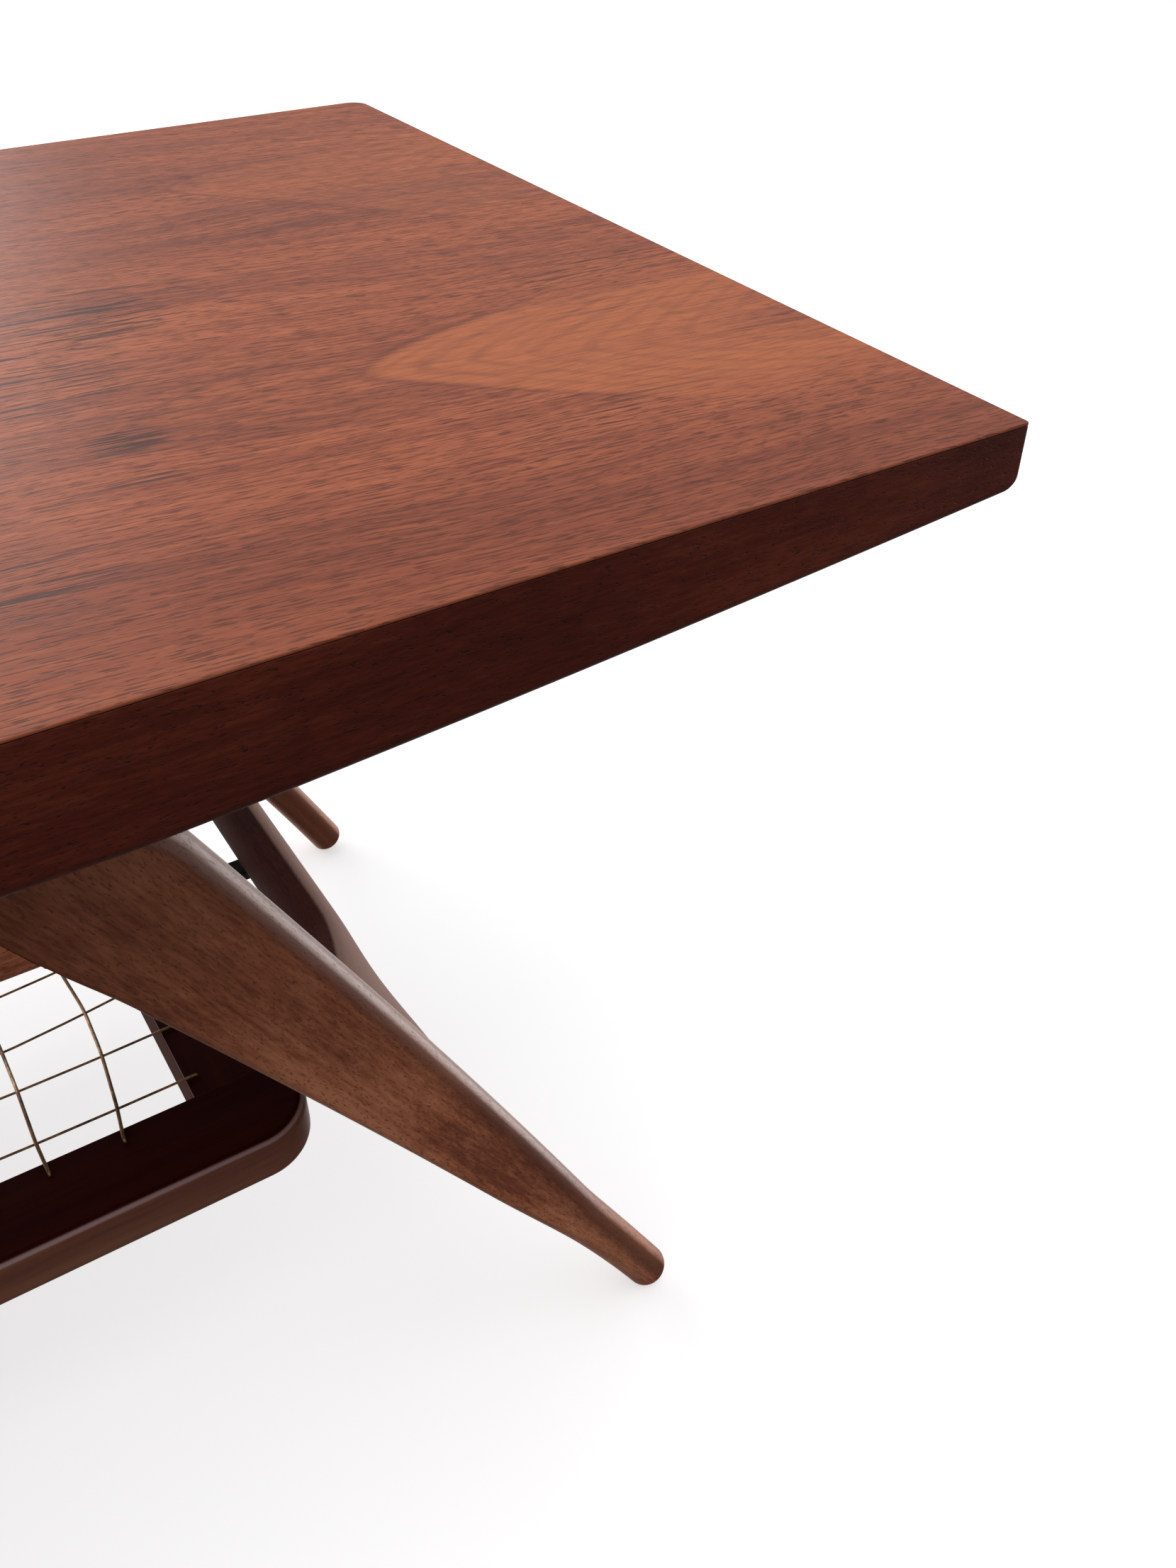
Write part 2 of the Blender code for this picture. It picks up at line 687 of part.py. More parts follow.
def make_bearers():
    for name_x, side_x in SIDES_X:
        name = f"{name_x}_bearer"
        low = (side_x * BEARER_X - BEARER_WIDTH / 2, -BEARER_LENGTH / 2, BEARER_BOTTOM_Z)
        high = (side_x * BEARER_X + BEARER_WIDTH / 2, BEARER_LENGTH / 2, BEARER_TOP_Z)
        bearer = add_mesh(name, box_mesh(name, low, high), leg_wood, parts)
        add_bevel(bearer, BEARER_ARRIS)
        dowels = [longer(bearer_dowel(side_x, side_y), FIT_GAP) for _, side_y in SIDES_Y]
        cut_holes(bearer, name + "_dowel_holes", dowels)
        bores = []
        shanks = []
        bore_top = BEARER_SCREW_HEAD_Z + SCREW_HEAD_DEPTH + FIT_GAP
        for x, y in bearer_screws().values():
            if x * side_x > 0:
                bottom = (x, y, BEARER_BOTTOM_Z - OVERCUT)
                bores.append((bottom, (x, y, bore_top), SCREW_HEAD_RADIUS + FIT_GAP))
                shanks.append((bottom, (x, y, BEARER_TOP_Z + OVERCUT), SCREW_SHANK_RADIUS))
        cut_holes(bearer, name + "_bores", bores)
        cut_holes(bearer, name + "_screw_holes", shanks)


# --- rack -------------------------------------------------------------------------------------------


def wire_hole(x, y, radius):
    top = (x, y, RACK_TOP_Z + OVERCUT)
    bottom = (x, y, RACK_TOP_Z - WIRE_HOLE_DEPTH)
    return (top, bottom, radius)


def wire_numbers(each_side):
    return range(-each_side, each_side + 1)


def rack_tenon(side_x, side_y, gap):
    """The tenon at one end of the rack's end rail, grown all round by gap."""
    root = RACK_INNER_Y - TENON_ROOT
    corner = (side_x * (RACK_TENON_X[0] - gap), side_y * root, RACK_TENON_Z[0] - gap)
    opposite = (
        side_x * (RACK_TENON_X[1] + gap),
        side_y * (RACK_TENON_END_Y + gap),
        RACK_TENON_Z[1] + gap,
    )
    return corner, opposite


def soften_outside(obj):
    """Rounds the outer top and bottom edges of a rack rail, and leaves its joints and opening crisp."""
    mesh = obj.data
    weights = mesh.attributes.new("bevel_weight_edge", "FLOAT", "EDGE")
    for edge, weight in zip(mesh.edges, weights.data):
        ends = [mesh.vertices[i].co for i in edge.vertices]
        level = abs(ends[0].z - ends[1].z) < 0.0001
        outside = all(on_rack_outline(end) for end in ends)
        if level and outside:
            high = ends[0].z > RACK_TOP_Z - 0.001
            weight.value = RACK_TOP_ARRIS / RACK_BOTTOM_ARRIS if high else 1.0
    weigh_bevel(obj, RACK_BOTTOM_ARRIS, 3)


def on_rack_outline(point):
    """True on the outline of the rack, whose corners are round."""
    dx = abs(point.x) - (RACK_OUTER_X - RACK_CORNER_RADIUS)
    dy = abs(point.y) - (RACK_OUTER_Y - RACK_CORNER_RADIUS)
    if dx > 0 and dy > 0:
        return abs(math.hypot(dx, dy) - RACK_CORNER_RADIUS) < 0.0005
    return dx > RACK_CORNER_RADIUS - 0.0005 or dy > RACK_CORNER_RADIUS - 0.0005


def make_rack():
    make_rack_long_rails()
    make_rack_end_rails()


def make_rack_long_rails():
    plan = rounded_plan(
        RACK_OUTER_X, RACK_OUTER_Y, RACK_CORNER_RADIUS, RACK_CORNER_RADIUS, 8
    )
    for name_y, side_y in SIDES_Y:
        name = f"rack_{name_y}_rail"
        outline = [(x, y) for x, y in plan if y * side_y > 0]
        inner_y = side_y * RACK_INNER_Y
        outline += [(-side_y * RACK_OUTER_X, inner_y), (side_y * RACK_OUTER_X, inner_y)]
        mesh = flat_outline(name, outline, RACK_BOTTOM_Z, RACK_TOP_Z, parts)
        rail = add_mesh(name, mesh, rack_wood, parts, math.radians(40))
        soften_outside(rail)
        for name_x, side_x in SIDES_X:
            mortise = box_mesh(name, *rack_tenon(side_x, side_y, FIT_GAP))
            cut(rail, f"{name}_mortise_{name_x}", mortise)
        hole_y = side_y * CROSS_WIRE_END_Y
        holes = [
            wire_hole(index * CROSS_WIRE_PITCH, hole_y, CROSS_WIRE_RADIUS)
            for index in wire_numbers(CROSS_WIRES_EACH_SIDE)
        ]
        cut_holes(rail, name + "_wire_holes", holes)


def make_rack_end_rails():
    half_y = RACK_INNER_Y - FIT_GAP
    for name_x, side_x in SIDES_X:
        name = f"rack_{name_x}_rail"
        corner = (side_x * RACK_INNER_X, -half_y, RACK_BOTTOM_Z)
        opposite = (side_x * RACK_OUTER_X, half_y, RACK_TOP_Z)
        rail = add_mesh(name, box_mesh(name, corner, opposite), rack_wood, parts)
        soften_outside(rail)
        for name_y, side_y in SIDES_Y:
            tenon = box_mesh(name, *rack_tenon(side_x, side_y, 0.0))
            join(rail, f"{name}_tenon_{name_y}", tenon)
        cut(rail, name + "_hanger_mortise", box_mesh(name, *hanger_box(side_x, FIT_GAP)))
        hole_x = side_x * LONG_WIRE_END_X
        holes = [
            wire_hole(hole_x, index * LONG_WIRE_PITCH, LONG_WIRE_RADIUS)
            for index in wire_numbers(LONG_WIRES_EACH_SIDE)
        ]
        cut_holes(rail, name + "_wire_holes", holes)


# --- wires ------------------------------------------------------------------------------------------


def grid_drop(x, y):
    """How far the wire grid hangs down at (x, y): a shallow sag, and a dent."""
    share_x = max(0.0, 1.0 - (x / RACK_INNER_X) ** 2)
    share_y = max(0.0, 1.0 - (y / RACK_INNER_Y) ** 2)
    dent_x = max(0.0, 1.0 - abs(abs(x) - DENT_X) / DENT_REACH_X)
    dent_y = math.exp(-(abs(y - DENT_Y) / DENT_REACH_Y) ** 3)
    return WIRE_SAG * share_x * share_y + DENT_DEPTH * dent_x * dent_y


def wire_end(reach, rest_z):
    """The end of a wire: (distance along, z) from the tip in its hole to where it lies on the rack."""
    bend = rest_z - RACK_TOP_Z
    tip_z = RACK_TOP_Z - WIRE_HOLE_DEPTH + FIT_GAP
    half_turn = bend * (1 - math.cos(math.radians(45)))
    return [
        (reach, tip_z),
        (reach, RACK_TOP_Z),
        (reach - half_turn, rest_z - half_turn),
        (reach - bend, rest_z),
    ]


def wire_object(name, points, radius):
    curve = bpy.data.curves.new(name, "CURVE")
    curve.dimensions = "3D"
    curve.bevel_depth = radius
    curve.bevel_resolution = 2
    curve.use_fill_caps = True
    spline = curve.splines.new("POLY")
    spline.points.add(len(points) - 1)
    for point, place in zip(spline.points, points):
        point.co = (*place, 1)
    curve.materials.append(wire_brass)
    parts.objects.link(bpy.data.objects.new(name, curve))


def bent_wire_offset(y):
    reach = (y - BENT_WIRE_Y) / BENT_WIRE_REACH
    return BENT_WIRE_BOW * math.exp(-2.5 * reach * reach)


def make_cross_wires():
    """The wires across the table. They rest on the rack's long rails and pass over the long wires."""
    rest_z = RACK_TOP_Z + FIT_GAP + CROSS_WIRE_RADIUS
    over_z = RACK_TOP_Z + 2 * (FIT_GAP + LONG_WIRE_RADIUS) + CROSS_WIRE_RADIUS
    ends = wire_end(CROSS_WIRE_END_Y, rest_z)
    outer_y = LONG_WIRES_EACH_SIDE * LONG_WIRE_PITCH
    for index in wire_numbers(CROSS_WIRES_EACH_SIDE):
        steps = 4 if abs(index) >= CROSS_WIRES_NEAR_DENT else 2
        side = (index > 0) - (index < 0)
        bent = side if abs(index) == CROSS_WIRES_EACH_SIDE else 0
        points = [(index * CROSS_WIRE_PITCH, -along, z) for along, z in ends]
        for step in wire_numbers(steps):
            y = outer_y * step / steps
            x = index * CROSS_WIRE_PITCH + bent * bent_wire_offset(y)
            points.append((x, y, over_z - grid_drop(x, y)))
        points += [(index * CROSS_WIRE_PITCH, along, z) for along, z in reversed(ends)]
        number = index + CROSS_WIRES_EACH_SIDE + 1
        wire_object(f"cross_wire_{number:02d}", points, CROSS_WIRE_RADIUS)


def make_long_wires():
    """The wires along the table, from one end rail of the rack to the other."""
    rest_z = RACK_TOP_Z + FIT_GAP + LONG_WIRE_RADIUS
    ends = wire_end(LONG_WIRE_END_X, rest_z)
    ends.append((RACK_INNER_X, rest_z))
    bends = sorted({side * index for index in LONG_WIRE_BENDS for side in (-1, 1)})
    crossings = [index * CROSS_WIRE_PITCH for index in bends]
    for index in wire_numbers(LONG_WIRES_EACH_SIDE):
        y = index * LONG_WIRE_PITCH
        points = [(-along, y, z) for along, z in ends]
        points += [(x, y, rest_z - grid_drop(x, y)) for x in crossings]
        points += [(along, y, z) for along, z in reversed(ends)]
        number = index + LONG_WIRES_EACH_SIDE + 1
        wire_object(f"long_wire_{number}", points, LONG_WIRE_RADIUS)


# --- hangers ----------------------------------------------------------------------------------------


def hanger_box(side_x, gap):
    """Opposite corners of a hanger, grown all round by gap."""
    half = HANGER_WIDTH / 2 + gap
    low_z = HANGER_TOP_Z - HANGER_THICKNESS - gap
    corner = (side_x * (HANGER_INNER_X - gap), -half, low_z)
    opposite = (side_x * (HANGER_OUTER_X + gap), half, HANGER_TOP_Z + gap)
    return corner, opposite


def hanger_screw_shank(side_x):
    """The hole from under the hanger up into the stretcher."""
    x = side_x * STRETCHER_MID_X
    low = HANGER_TOP_Z - HANGER_THICKNESS - OVERCUT
    return ((x, 0, low), (x, 0, HANGER_TOP_Z + SCREW_IN_STRETCHER), SCREW_SHANK_RADIUS)


def make_hangers():
    for name_x, side_x in SIDES_X:
        name = f"{name_x}_hanger"
        tongue = add_mesh(name, box_mesh(name, *hanger_box(side_x, 0.0)), black_steel, parts)
        add_bevel(tongue, HANGER_ARRIS)
        cut_holes(tongue, name + "_screw_hole", [hanger_screw_shank(side_x)])


# --- fixings ----------------------------------------------------------------------------------------


def sunk_screw(length):
    return [
        (0.0, SCREW_HEAD_RADIUS),
        (0.2 * SCREW_HEAD_DEPTH, SCREW_HEAD_RADIUS),
        (SCREW_HEAD_DEPTH, SCREW_SHANK_RADIUS),
        (length - SCREW_POINT_LENGTH, SCREW_SHANK_RADIUS),
        (length, 0.2 * SCREW_SHANK_RADIUS),
    ]


def round_head_screw(length):
    return [
        (0.0, 0.6 * SCREW_HEAD_RADIUS),
        (0.4 * SCREW_HEAD_DEPTH, 0.95 * SCREW_HEAD_RADIUS),
        (SCREW_HEAD_DEPTH - 0.0001, SCREW_HEAD_RADIUS),
        (SCREW_HEAD_DEPTH, SCREW_SHANK_RADIUS),
        (length - SCREW_POINT_LENGTH, SCREW_SHANK_RADIUS),
        (length, 0.2 * SCREW_SHANK_RADIUS),
    ]


def add_screw(name, place, sections):
    """A screw with its head down, at a place, from (height above the place, radius) sections."""
    x, y, z = place
    angles = [2 * math.pi * (step + 0.5) / 8 for step in range(8)]
    rings = [
        [(x + radius * math.cos(a), y + radius * math.sin(a), z + up) for a in angles]
        for up, radius in sections
    ]
    add_mesh(name, loft_mesh(name, rings), screw_steel, parts)


def make_fixings():
    length = SCREW_TIP_Z - BEARER_SCREW_HEAD_Z
    for name, (x, y) in bearer_screws().items():
        add_screw(name, (x, y, BEARER_SCREW_HEAD_Z), sunk_screw(length))

    head_z = HANGER_TOP_Z - HANGER_THICKNESS - FIT_GAP - SCREW_HEAD_DEPTH
    for name_x, side_x in SIDES_X:
        place = (side_x * STRETCHER_MID_X, 0, head_z)
        length = HANGER_TOP_Z + SCREW_IN_STRETCHER - FIT_GAP - head_z
        add_screw(f"{name_x}_hanger_screw", place, round_head_screw(length))

    for name_y, side_y in SIDES_Y:
        for name_x, side_x in SIDES_X:
            name = f"bearer_dowel_{name_y}_{name_x}"
            mesh = rods_mesh(name, [bearer_dowel(side_x, side_y)])
            add_mesh(name, mesh, dowel_beech, parts, math.radians(50))


clear_scene()
parts = make_collection("coffee_table_with_magazine_rack")
helpers = make_collection("cutters_and_joined_shapes")

top_teak = make_material("top_teak", (0.36, 0.115, 0.066), 0.42)
edge_teak = make_material("edge_teak", (0.105, 0.030, 0.018), 0.40)
leg_wood = make_material("leg_wood", (0.165, 0.070, 0.040), 0.42)
rack_wood = make_material("rack_wood", (0.085, 0.022, 0.012), 0.32)
board_wood = make_material("board_wood", (0.42, 0.27, 0.15), 0.75)
dowel_beech = make_material("dowel_beech", (0.62, 0.43, 0.26), 0.70)
wire_brass = make_material("wire_brass", (0.30, 0.17, 0.09), 0.45, 0.9)
black_steel = make_material("black_steel", (0.012, 0.010, 0.010), 0.45, 0.2)
screw_steel = make_material("screw_steel", (0.45, 0.42, 0.38), 0.40, 1.0)

make_top()
make_side_frames()
make_stretchers()
make_bearers()
make_rack()
make_cross_wires()
make_long_wires()
make_hangers()
make_fixings()
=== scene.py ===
"""Looks of the low teak coffee table with a wire magazine rack between its legs.

Blender 4.5, metres, +Z up, in the frame of the CAD model. Finer shapes stand for the CAD solids where
their curves show. The other CAD nodes keep their shape and get a better material.
"""

import math

import bmesh
import bpy
from mathutils import Matrix, Vector


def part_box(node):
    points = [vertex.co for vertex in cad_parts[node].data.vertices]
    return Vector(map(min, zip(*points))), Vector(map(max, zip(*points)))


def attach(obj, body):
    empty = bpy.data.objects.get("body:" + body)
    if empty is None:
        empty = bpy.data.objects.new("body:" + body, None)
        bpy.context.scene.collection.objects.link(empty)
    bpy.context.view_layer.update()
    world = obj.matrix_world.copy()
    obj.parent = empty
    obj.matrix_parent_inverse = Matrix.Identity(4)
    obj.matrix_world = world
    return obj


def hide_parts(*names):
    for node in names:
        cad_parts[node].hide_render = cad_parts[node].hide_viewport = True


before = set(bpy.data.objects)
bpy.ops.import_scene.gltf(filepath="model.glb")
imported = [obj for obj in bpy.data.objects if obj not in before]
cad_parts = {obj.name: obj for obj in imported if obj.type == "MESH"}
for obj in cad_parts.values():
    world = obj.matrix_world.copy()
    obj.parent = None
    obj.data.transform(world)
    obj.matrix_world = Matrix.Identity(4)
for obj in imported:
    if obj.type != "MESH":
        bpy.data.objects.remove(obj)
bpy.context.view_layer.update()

SIDES_X = (("left", -1), ("right", 1))
SIDES_Y = (("near", -1), ("far", 1))
FIT_GAP = 0.0003

# Top
TOP_LOW, TOP_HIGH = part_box("top_veneer")
HALF_LENGTH = TOP_HIGH.x
HALF_WIDTH = TOP_HIGH.y
HEIGHT = TOP_HIGH.z
BOARD_TOP_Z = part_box("near_lipping")[1].z
LIPPING_WIDTH = 0.020
LIPPING_END_DEPTH = 0.0247
LIPPING_MID_DEPTH = 0.0448
LIPPING_TAPER_LENGTH = 0.300
LIPPING_TAPER_POWER = 1.25
LIPPING_BOTTOM_RADIUS = 0.0045
LIPPING_TOP_ARRIS = 0.0004
LIPPING_INNER_CHAMFER = 0.001
NEAR_CORNER_RADIUS = 0.0015
FAR_CORNER_RADIUS = 0.009
VENEER_ARRIS = 0.0006

# Side frames
RAIL_LOW, RAIL_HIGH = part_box("far_side_rail")
FRAME_Y = (RAIL_LOW.y + RAIL_HIGH.y) / 2
HALF_THICK = (RAIL_HIGH.y - RAIL_LOW.y) / 2
FRAME_TOP_Z = RAIL_HIGH.z
RAIL_BOTTOM_Z = RAIL_LOW.z
LEG_SPLIT_Z = 0.361
LEG_SPLIT_X = 0.2552
LEG_LEAN = 0.5659
LEG_ANGLE = math.atan(LEG_LEAN)
LEG_FOOT_HALF = 0.0118
LEG_TAPER_START_Z = 0.086
LEG_TAPER = 0.0652
LEG_TAPER_SOFTNESS = 0.015
LEG_BELLY = 0.0020
FOOT_TUCK = 0.0035
LEG_INNER_LEAN = 0.6264
LEG_OUTER_LEAN = 0.535
SHOULDER_RADIUS = 0.045
OUTER_CAP = 0.0075
ARRIS = 0.0045
CROWN_SHADE = 0.012
CRISP_LENGTH = 0.030
CRISP_SHARE = 0.12
ROUND_BELOW_Z = 0.150
FOOT_RADIUS = 0.0104
FOOT_END_Z = 0.0076
FOOT_CAP_LENGTH = 0.0070
TILT_LOW_Z = 0.020
TILT_HIGH_Z = 0.130

# Stretchers
STRETCHER_MID_X = 0.3437
STRETCHER_MID_Z = 0.2101
STRETCHER_MID_HALF = (0.0090, 0.0256)
STRETCHER_END_Z = 0.2185
STRETCHER_END_HALF = (0.0153, 0.028)
STRETCHER_FLARE_Y = 0.100
STRETCHER_END_Y = FRAME_Y - HALF_THICK
STRETCHER_SWELL_Y = STRETCHER_END_Y - 0.030
STRETCHER_INTO_LEG_Y = STRETCHER_END_Y + 0.008
STRETCHER_SWELL = 0.007

# Rack
RACK_LOW, RACK_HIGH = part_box("rack_far_rail")
RACK_OUTER_X = RACK_HIGH.x
RACK_OUTER_Y = RACK_HIGH.y
RACK_INNER_Y = RACK_LOW.y
RACK_INNER_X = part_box("rack_right_rail")[0].x
RACK_TOP_Z = RACK_HIGH.z
RACK_BOTTOM_Z = RACK_LOW.z
RACK_CORNER_RADIUS = 0.025
RACK_TOP_ARRIS = 0.0045
RACK_BOTTOM_ARRIS = 0.006
RACK_INNER_ARRIS = 0.001

# Wires
CROSS_WIRE_PITCH = 0.02965
LONG_WIRE_PITCH = 0.0309
CROSS_WIRE_RADIUS = 0.00075
LONG_WIRE_RADIUS = 0.00055
CROSS_WIRES_EACH_SIDE = 8
LONG_WIRES_EACH_SIDE = 4
CROSS_WIRE_END_Y = 0.1405
LONG_WIRE_END_X = 0.2733
WIRE_HOLE_DEPTH = 0.008
DRILL_OVERRUN = 0.002
WIRE_SAG = 0.001
GRID_UNEVEN = 0.00045
CROSS_WIRE_BEND = 0.0014
LONG_WIRE_BEND = 0.0012
DENT_X = 0.2076
DENT_Y = -0.052
DENT_DEPTH = 0.0078
DENT_REACH_X = 0.0657
DENT_REACH_Y = 0.031
BENT_WIRE_BOW = 0.0066
BENT_WIRE_Y = -0.066
BENT_WIRE_REACH = 0.100

# Colours: dark, middle and light of a wood where there are three
TOP_COLOURS = (
    (0.24, (0.140, 0.028, 0.012)),
    (0.42, (0.270, 0.061, 0.025)),
    (0.56, (0.375, 0.096, 0.039)),
    (0.74, (0.480, 0.140, 0.058)),
)
# Cathedral figures of the top: tip x and y, half width, bow, drift, side, strength of colour
TOP_FLAMES = (
    (0.384, -0.104, 0.036, 0.050, -0.026, 1.0, 0.80),
    (0.306, -0.103, 0.019, 0.030, -0.008, 1.0, 0.10),
    (0.401, 0.137, 0.045, 0.060, -0.040, 1.0, 0.30),
    (-0.110, 0.030, 0.036, 0.060, 0.010, 1.0, 0.35),
    (-0.260, -0.110, 0.030, 0.050, -0.015, -1.0, 0.28),
    (-0.330, 0.120, 0.034, 0.050, 0.010, -1.0, 0.20),
)
# Clusters of dark streaks: middle x and y, reach along and across
TOP_STREAKS = ((0.302, -0.114, 0.018, 0.012), (0.310, -0.142, 0.032, 0.004), (-0.210, 0.060, 0.026, 0.010))
LEG_COLOURS = ((0.215, 0.055, 0.025), (0.425, 0.136, 0.063), (0.600, 0.226, 0.112))
# Painted highlight along the crowns of the legs
LEG_CROWN_HIGHLIGHT = (0.84, 0.66, 0.62)
# Edge teak: a darker stain than the top, darkened further as painted shade on the edge faces
EDGE_STAIN_AND_SHADE = ((0.056, 0.0070, 0.0030), (0.088, 0.0125, 0.0058), (0.135, 0.024, 0.0100))
# Stretcher teak: darker than the leg teak as painted shade under the table; the next colour is a painted
# sheen on their lit flanks
STRETCHER_SHADED_COLOURS = ((0.030, 0.006, 0.004), (0.052, 0.011, 0.008), (0.085, 0.022, 0.016))
STRETCHER_PAINTED_SHEEN = (0.460, 0.300, 0.255)
# Rack top: dark stain, darkened further as painted shade under the tabletop; the side colours are the lighter
# brown of its sides
RACK_TOP_STAIN_AND_SHADE = ((0.0140, 0.0006, 0.0003), (0.0230, 0.0010, 0.0005), (0.0380, 0.0026, 0.0012))
RACK_SIDE_DARK = (0.060, 0.022, 0.015)
RACK_SIDE = (0.150, 0.056, 0.035)
RACK_SIDE_LIGHT = (0.215, 0.088, 0.056)
# Painted highlight along the rounded top arris of the rack
RACK_ARRIS_HIGHLIGHT = (0.34, 0.22, 0.22)
FLAME_COLOUR = (0.480, 0.136, 0.046)
FLAME_LINE = (0.150, 0.034, 0.018)
# Painted shade toward the near side of the top
TOP_NEAR_SHADE = (0.165, 0.034, 0.016)
TOP_STREAK = (0.030, 0.009, 0.008)
TOP_DASH = (0.100, 0.019, 0.008)
TOP_PORE = (0.080, 0.015, 0.007)
# Wear and a painted highlight along the top arris
TOP_WORN_AND_SHEEN_ARRIS = (0.210, 0.060, 0.024)
BOARD_COLOURS = ((0.10, 0.045, 0.025), (0.16, 0.075, 0.042), (0.22, 0.11, 0.062))
BEECH_COLOURS = ((0.42, 0.27, 0.15), (0.52, 0.36, 0.22), (0.62, 0.45, 0.29))
BRASS_COLOURS = ((0.36, (0.085, 0.045, 0.026)), (0.52, (0.24, 0.130, 0.066)), (0.68, (0.42, 0.26, 0.13)))
PAINT_COLOURS = ((0.35, (0.006, 0.005, 0.005)), (0.65, (0.016, 0.013, 0.012)))
ZINC_COLOURS = ((0.35, (0.20, 0.18, 0.15)), (0.65, (0.50, 0.47, 0.42)))

# Wood figure: noise scales per metre, along and then across the grain
WANDER_SCALE = (3.0, 9.0, 9.0)
TONE_SCALE = (2.2, 16.0, 16.0)
BAND_SCALE = (4.0, 95.0, 95.0)
FIBRE_SCALE = (38.0, 620.0, 620.0)
PORE_SCALE = (120.0, 1250.0, 1250.0)
SHORT_PORE_SCALE = (430.0, 1700.0, 1700.0)
TOP_PORE_SCALE = (170.0, 1500.0, 1500.0)
CLOUD_SCALE = (11.0, 26.0, 26.0)
GRIT_SCALE = (110.0, 700.0, 700.0)
SLOW_SCALE = (3.2, 9.0, 1.0)
STREAK_SCALE = (17.0, 420.0, 1.0)
CLUSTER_SCALE = (5.0, 14.0, 1.0)
DASH_SCALE = (95.0, 1250.0, 1.0)
CHAFE_SCALE = (55.0, 55.0, 400.0)
GRAIN_WANDER = 0.022
FLAME_DRIFT_LENGTH = 0.12
FLAME_POINT = 1.3
FLAME_LAYER_RATE = 330.0
# Painted shade on the legs above the first height, under the tabletop; the painted crown highlight fades in
# between the next two heights
SHADED_ABOVE_Z = 0.14
CROWN_HIGHLIGHT_Z = (0.03, 0.20)

# Depth of the bump that each kind of surface has, in metres
WOOD_RELIEF = 0.00012
TOP_RELIEF = 0.00010
LACQUER_RELIEF = 0.00002
METAL_RELIEF = 0.00005
PAINT_RELIEF = 0.00008

# Stage. A lamp is its name, place, target, size and watts
WHITE = (1.0, 1.0, 1.0, 1.0)
FLOOR_HALF = 30.0
FLOOR_COLOUR = (0.75, 0.75, 0.75, 1.0)
FLOOR_GLOW = 0.50
ROOM_DIM_AND_BRIGHT = (0.12, 0.62)
FLOOR_BEHIND = 1.1
LAMPS = (
    ("window", (-0.6, 3.0, 1.0), (0.1, 0.0, 0.35), (3.0, 1.6), 45.0),
    ("ceiling", (0.0, 0.0, 2.6), (0.0, 0.0, 0.3), (3.0, 3.0), 28.0),
    ("low_card", (2.2, -0.3, 0.3), (0.35, -0.1, 0.25), (1.6, 1.0), 7.5),
)
CAMERA_SENSOR = 36.0
CAMERA_LENS = 32.07
CAMERA_PLACE = (0.205496, -0.528775, 0.648344)
CAMERA_RIGHT = Vector((0.84488835, -0.53491929, 0.00500302))
CAMERA_DOWN = Vector((-0.32923619, -0.52734411, -0.78326989))
CAMERA_AHEAD = Vector((0.42162448, 0.66012843, -0.62166168))


# --- small helpers ---


def blend(low, high, share):
    share = min(1.0, max(0.0, share))
    share = share * share * (3 - 2 * share)
    return low + (high - low) * share


def quarter_round(radius, distance):
    """How far a quarter-round corner stands back, at a distance from where it starts."""
    if distance >= radius:
        return 0.0
    return radius - math.sqrt(max(0.0, radius**2 - (radius - distance) ** 2))


def quarter_steps(radius, steps):
    """Distances from the start of a quarter round, close together where it turns."""
    return [radius * (1 - math.cos(math.radians(90 * k / steps))) for k in range(steps + 1)]


def link(name, data):
    added = bpy.data.objects.new(name, data)
    bpy.context.scene.collection.objects.link(added)
    return added


def mesh_from(name, bm):
    mesh = bpy.data.meshes.new(name)
    bm.to_mesh(mesh)
    bm.free()
    return mesh


def evaluated_mesh(name, source, *others):
    """A mesh of what an object shows. It takes the place of the object and of the others."""
    bpy.context.view_layer.update()
    shown = source.evaluated_get(bpy.context.evaluated_depsgraph_get())
    mesh = bpy.data.meshes.new_from_object(shown)
    for used in (source, *others):
        bpy.data.objects.remove(used)
    mesh.name = name
    return mesh


def loft_mesh(name, rings, crown_light=None):
    """A closed body through rings of equal length. The optional numbers give each point a share that places
    painted shade and a painted highlight round a leg's crown.
    """
    bm = bmesh.new()
    layer = bm.verts.layers.float.new("crown_light")
    loops = []
    for index, ring in enumerate(rings):
        loop = [bm.verts.new(point) for point in ring]
        if crown_light:
            for vert, amount in zip(loop, crown_light[index]):
                vert[layer] = amount
        loops.append(loop)
    count = len(loops[0])
    for low, high in zip(loops, loops[1:]):
        for i in range(count):
            j = (i + 1) % count
            bm.faces.new((low[i], low[j], high[j], high[i]))
    bm.faces.new(list(reversed(loops[0])))
    bm.faces.new(loops[-1])
    bmesh.ops.remove_doubles(bm, verts=bm.verts[:], dist=0.000004)
    bmesh.ops.dissolve_degenerate(bm, edges=bm.edges[:], dist=0.000002)
    bmesh.ops.recalc_face_normals(bm, faces=bm.faces[:])
    return mesh_from(name, bm)


def show(name, mesh, material, slot, *nodes, smooth_angle=40, weighted=True):
    """Adds a piece that stands for CAD nodes, smooth shaded except across sharp edges."""
    piece = link(name, mesh)
    mesh.materials.append(material)
    mesh.shade_smooth()
    mesh.set_sharp_from_angle(angle=math.radians(smooth_angle))
    if weighted:
        even = piece.modifiers.new("even_shading", "WEIGHTED_NORMAL")
        even.keep_sharp = True
    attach(piece, "root")
    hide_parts(*nodes)


def dress(node, material):
    """Gives a CAD node its material in place of the plain one."""
    node_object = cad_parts[node]
    for slot in node_object.material_slots:
        slot.material = material
    if not node_object.material_slots:
        node_object.data.materials.append(material)


# --- materials ---


